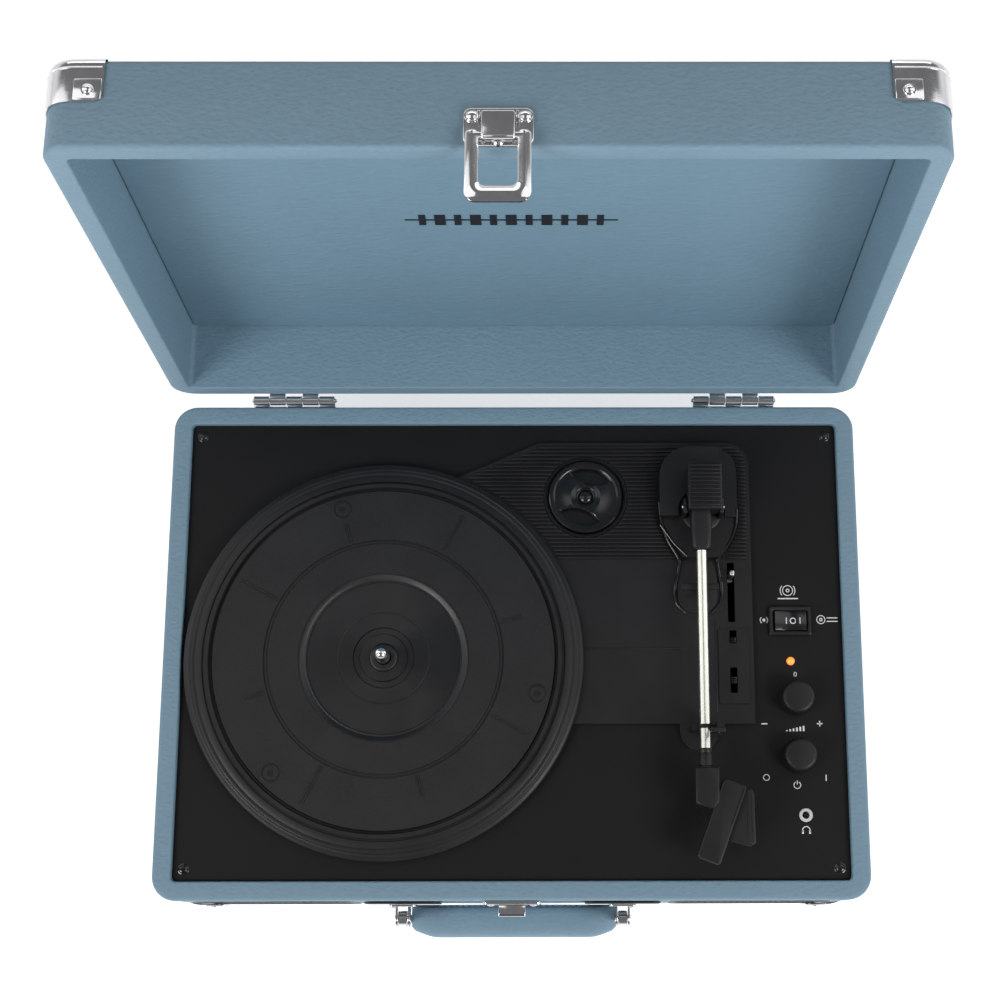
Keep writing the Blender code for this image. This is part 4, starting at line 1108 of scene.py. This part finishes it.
def build_rocker():
    at = axis_of("mode_rock")
    outline = [(8.7, 3.9)]
    for i in range(1, 12):
        outline.append((8.7 - 15.9 * i / 12, 2.3 + 1.5 * (abs(6 - i) / 6) ** 1.8))
    outline += [(-7.2, 3.7), (-6.9, -3.6), (8.0, -3.6)]
    rocker = turned_to(prism(list(reversed(outline)), -4.9, 4.9, 0.3, 2, both=True), "X")
    piece("rocker_cap", moved(rocker, at), "gloss", "mode_rocker", replaces="mode_rocker")
    ring = [(1.15, -0.06), (1.65, -0.06), (1.65, 0.06), (1.15, 0.06)]
    marks = [lathe(ring, 32, closed=True, at=(2.1, 0, 2.46))]
    marks += [block((0.5, 3.2, 0.12), (x, 0, z), 0) for x, z in ((-1.3, 2.5), (5.6, 2.98), (6.9, 2.98))]
    piece("rocker_marks", moved(together(*marks), at), "print", "mode_rocker")
    outer = rounded(21.6, 15.0, 1.2, 0.7)
    inner = rounded(17.4, 10.6, 0.6, 0.7)
    section = ((0, 0), (0, 1.3), (0.2, 1.8), (0.45, 1.9), (0.7, 1.8), (1, 1.2), (1, 0))
    border = skin(frame_rings(outer, inner, section), closed=True)
    middle = centre("switch_frame")
    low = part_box("switch_frame")[0].z / MM
    piece("rocker_frame", moved(border, (middle.x, middle.y, low)), "black", "base",
          replaces="switch_frame")


def build_light_and_jack():
    light = centre("power_light")
    dome = [(0, 1.0), (0.9, 0.85), (1.6, 0.4), (2.0, -0.2), (2.0, -5), (0, -5)]
    lens = lathe(dome, 32, at=(light.x, light.y, DECK_Z))
    piece("power_lens", lens, "light", "base", replaces="power_light")
    jack = centre("headphone_jack")
    ring = [
        (1.9, 0.9), (3.0, 0.9), (3.4, 0.5), (3.4, 0.0), (2.6, 0.0), (2.6, -12.9), (0.9, -12.9),
        (0.9, -11.0), (1.9, -11.0),
    ]
    piece("jack_ring", lathe(ring, 48, closed=True, at=(jack.x, jack.y, DECK_Z)), "white", "base",
          replaces="headphone_jack")


def mark_at(x, y, *shapes):
    return [moved(shape, (x, y, DECK_Z)) for shape in shapes]


def bar(width, height, x=0.0, y=0.0):
    return block((width, height, 0.12), (x, y, 0.04), 0)


def ring_mark(radius, width=0.4, start=0.0, end=360.0):
    """A printed ring, or an arc of one."""
    steps = 32
    bm = bmesh.new()
    rows = []
    for i in range(steps + 1):
        a = math.radians(start + (end - start) * i / steps)
        rows.append([
            bm.verts.new((r * math.cos(a), r * math.sin(a), z))
            for r, z in ((radius, -0.02), (radius + width, -0.02), (radius + width, 0.1), (radius, 0.1))
        ])
    for a, b in zip(rows, rows[1:]):
        for k in range(4):
            bm.faces.new((a[k], a[(k + 1) % 4], b[(k + 1) % 4], b[k]))
    bmesh.ops.remove_doubles(bm, verts=bm.verts, dist=1e-4)
    bmesh.ops.recalc_face_normals(bm, faces=bm.faces)
    return bm


def build_marks():
    """Plain dial marks and signs, printed on the deck beside the controls."""
    switch = centre("switch_frame")
    pitch = centre("pitch_knob")
    volume = centre("volume_knob")
    jack = centre("headphone_jack")
    shapes = []
    # a record and sound waves above the switch, waves on its left and a record on its right
    shapes += mark_at(switch.x, switch.y + 16.0, ring_mark(2.4), ring_mark(0.5, 0.5),
                      ring_mark(3.6, 0.4, -40, 40), ring_mark(3.6, 0.4, 140, 220))
    shapes += mark_at(switch.x, switch.y + 11.8, bar(10.6, 0.6))
    shapes += mark_at(switch.x - 12.6, switch.y + 0.6, ring_mark(0.2, 0.6), ring_mark(1.7, 0.4, -50, 50),
                      ring_mark(1.7, 0.4, 130, 230))
    shapes += mark_at(switch.x + 16.6, switch.y + 0.8, ring_mark(1.9), ring_mark(0.4, 0.5))
    shapes += mark_at(switch.x + 22.4, switch.y + 0.8, bar(5.6, 0.5, 0, 0.9), bar(5.6, 0.5, 0, -0.9))
    # the pitch dial: a zero, a minus and a plus
    zero = rounded(1.5, 2.3, 0.7, steps=6)
    hole = rounded(0.8, 1.6, 0.38, steps=6)
    digit = skin(frame_rings(zero, hole, ((0, 0), (0, 0.1), (1, 0.1), (1, 0))), closed=True)
    shapes += mark_at(pitch.x, pitch.y + 12.6, digit)
    shapes += mark_at(pitch.x - 16.4, pitch.y - 12.6, bar(3.0, 0.6))
    shapes += mark_at(pitch.x + 11.6, pitch.y - 12.6, bar(2.8, 0.6), bar(0.6, 2.8))
    # the volume dial: rising bars above it, off and on at its ends, a switch sign below
    for i in range(6):
        tall = 0.6 + 0.42 * i
        shapes += mark_at(volume.x - 5.4 + 1.7 * i, volume.y + 12.6 + tall / 2, bar(0.9, tall))
    shapes += mark_at(volume.x - 16.4, volume.y - 10.6, ring_mark(1.3))
    shapes += mark_at(volume.x + 13.6, volume.y - 10.8, bar(0.5, 3.2))
    shapes += mark_at(volume.x - 1.0, volume.y - 14.4, ring_mark(1.5, 0.4, -240, 60),
                      bar(0.45, 2.0, 0, 1.3))
    # headphones below the jack
    shapes += mark_at(jack.x, jack.y - 7.6, ring_mark(1.7, 0.45, -20, 200), bar(0.9, 1.7, -1.75, -0.8),
                      bar(0.9, 1.7, 1.75, -0.8))
    piece("deck_marks", together(*shapes), "print", "base")


def build_deck():
    dress(NODES["deck_panel"], "deck", "base")
    screws = []
    for sx in (-1, 1):
        for sy in (-1, 1):
            washer = lathe([(0, -0.1), (2.9, -0.1), (2.9, 0.15), (2.6, 0.35), (0, 0.35)], 32)
            screws.append(moved(together(washer, screw_head(2.2, 1.1)), (sx * 163, sy * 111.5, DECK_Z)))
    piece("deck_screws", together(*screws), "gloss", "base")


# ---------------------------------------------------------------- front, back and under

def grille_sheet(width, height, pitch, radius):
    """A sheet in the XY plane with a grid of round holes."""
    bm = bmesh.new()
    columns, rows = int(width // pitch), int(height // pitch)
    for c in range(columns):
        for r in range(rows):
            cx = (c - (columns - 1) / 2) * pitch
            cy = (r - (rows - 1) / 2) * pitch
            half = pitch / 2
            outer, inner = [], []
            for k in range(16):
                a = 2 * math.pi * k / 16
                reach = half / max(abs(math.cos(a)), abs(math.sin(a)))
                outer.append(bm.verts.new((cx + reach * math.cos(a), cy + reach * math.sin(a), 0)))
                inner.append(bm.verts.new((cx + radius * math.cos(a), cy + radius * math.sin(a), 0)))
            for k in range(16):
                j = (k + 1) % 16
                bm.faces.new((outer[k], outer[j], inner[j], inner[k]))
    bmesh.ops.remove_doubles(bm, verts=bm.verts, dist=1e-3)
    made = bmesh.ops.extrude_face_region(bm, geom=bm.faces[:])
    top = [v for v in made["geom"] if isinstance(v, bmesh.types.BMVert)]
    bmesh.ops.translate(bm, vec=(0, 0, 0.8), verts=top)
    bmesh.ops.recalc_face_normals(bm, faces=bm.faces)
    return bm


def build_speakers():
    width, height = GRILLE_SIZE
    for side, at in SPEAKERS.items():
        outer = rounded(width, height, 8.0)
        inner = rounded(width - 7.0, height - 7.0, 5.0)
        section = ((0, -1.1), (0, 0.1), (0.25, 0.55), (0.6, 0.5), (1, -0.2), (1, -1.1))
        border = skin(frame_rings(outer, inner, section), closed=True)
        mesh = moved(grille_sheet(width - 7.0, height - 7.0, 3.4, 1.15), (0, 0, -0.9))
        piece(f"grille_{side}", along_y(together(border, mesh), (at.x, FRONT, at.z)), "black", "base",
              replaces=f"speaker_grille_{side}")
        cloth = prism(rounded(width, height, 8.0), -3.0, -1.6)
        piece(f"grille_cloth_{side}", along_y(cloth, (at.x, FRONT, at.z)), "rubber", "base")


def build_sockets():
    dress(NODES["socket_panel"], "black", "base")
    soften(NODES["socket_panel"], 0.3)
    at = SOCKETS
    face = REAR + 1.8
    for name, dx, look in (("left_socket_ring", -6, "white"), ("right_socket_ring", -20, "red")):
        ring = [(4.3, 0.0), (5.3, 0.0), (5.3, 0.8), (4.9, 1.1), (4.3, 1.1)]
        turned = turned_to(lathe(ring, 32, closed=True), "X", (at.x + dx, face, at.z), -90)
        piece(name, turned, look, "base")
    cups, screws = [], []
    for dx in (-6, -20):
        cup = [(2.0, 5.6), (4.2, 5.6), (4.3, 5.4), (4.3, 1.0), (4.2, 0.8), (2.0, 0.8)]
        cups.append(turned_to(lathe(cup, 32, closed=True), "X", (at.x + dx, face, at.z), -90))
    for dx in (-29, 29):
        screws.append(turned_to(screw_head(1.9, 0.8), "X", (at.x + dx, face, at.z), -90))
    piece("socket_cups", together(*cups), "chrome", "base")
    piece("socket_screws", together(*screws), "steel", "base")


def build_feet():
    for end in ("front", "rear"):
        for side in ("left", "right"):
            node = f"foot_{end}_{side}"
            at = centre(node)
            profile = [(0, 4.2), (10, 4.2), (10, 1.2), (9.7, 0.5), (9.0, 0.0), (6.5, 0.0), (6.2, 0.5), (0, 0.5)]
            foot = lathe(profile, 48, at=(at.x, at.y, 0))
            piece(f"rubber_foot_{end}_{side}", foot, "rubber", "base", replaces=node)


build_base_shell()
build_lid_shell()
build_emblem()
build_corners()
build_hinges()
build_latch()
build_handle()
build_platter()
build_mechanism_plate()
build_adapter()
build_arm()
build_arm_controls()
build_knob("pitch", "pitch_knob")
build_knob("volume", "volume_knob")
build_rocker()
build_light_and_jack()
build_marks()
build_deck()
build_speakers()
build_sockets()
build_feet()


# ---------------------------------------------------------------- floor, light and camera

def build_floor():
    bpy.ops.mesh.primitive_plane_add(size=6, location=(0, 0, -0.0002))
    floor = bpy.context.object
    floor.name = "studio_floor"
    look = Look("studio_floor", (0.93, 0.93, 0.93), 0.9, specular=0.1)
    look.vary_colour(look.noise(400.0, 1.0), 0.3, 0.7, 0.995, 1.005)
    look.set("Emission Color", (1.0, 1.0, 1.0, 1.0))
    look.set("Emission Strength", 0.55)
    floor.data.materials.append(look.material)


def soft_light(name, at, target, size, watts, seen_by_matt=True):
    light = bpy.data.lights.new(name, "AREA")
    light.shape = "RECTANGLE"
    light.size, light.size_y = size
    light.energy = watts
    obj = bpy.data.objects.new(name, light)
    obj.location = at
    obj.rotation_euler = (Vector(target) - Vector(at)).to_track_quat("-Z", "Y").to_euler()
    obj.visible_diffuse = seen_by_matt
    bpy.context.scene.collection.objects.link(obj)


def build_studio():
    world = bpy.data.worlds.new("studio")
    world.use_nodes = True
    nodes, links = world.node_tree.nodes, world.node_tree.links
    direction = nodes.new("ShaderNodeTexCoord")
    split = nodes.new("ShaderNodeSeparateXYZ")
    height = nodes.new("ShaderNodeMapRange")
    height.interpolation_type = "SMOOTHSTEP"
    # white at the horizon, dim overhead
    for socket, value in (("From Min", 0.06), ("From Max", 0.42), ("To Min", 0.95), ("To Max", 0.2)):
        height.inputs[socket].default_value = value
    links.new(direction.outputs["Generated"], split.inputs[0])
    links.new(split.outputs["Z"], height.inputs["Value"])
    background = nodes["Background"]
    background.inputs["Color"].default_value = (0.97, 0.98, 1.0, 1)
    links.new(height.outputs["Result"], background.inputs["Strength"])
    bpy.context.scene.world = world
    aim = (0, 0.05, 0.15)
    soft_light("left_box", (-1.15, -0.75, 1.25), aim, (0.7, 0.7), 15.5)
    soft_light("right_box", (1.15, -0.75, 1.25), aim, (0.7, 0.7), 17)
    for name, x in (("left_screen", -1.05), ("right_screen", 1.1)):
        soft_light(name, (x, 0.5, 1.05), (0, 0.5, 0.1), (0.9, 2.2), 7.5, seen_by_matt=False)
    soft_light("rear_screen", (0, 1.3, 0.9), (0, 0.1, 0.2), (1.8, 0.4), 4.0, seen_by_matt=False)
    bpy.context.scene.view_settings.view_transform = "Standard"


def build_camera():
    camera = bpy.data.cameras.new("camera")
    camera.sensor_width = 36
    camera.lens = 61.98
    camera.shift_x = -0.0637
    camera.shift_y = 0.0304
    camera.clip_start = 0.05
    obj = bpy.data.objects.new("camera", camera)
    obj.location = (0.0221, -0.1651, 0.9550)
    obj.rotation_euler = [math.radians(a) for a in (13.106, -0.231, -0.113)]
    bpy.context.scene.collection.objects.link(obj)
    bpy.context.scene.camera = obj


build_floor()
build_studio()
build_camera()

bpy.context.view_layer.update()
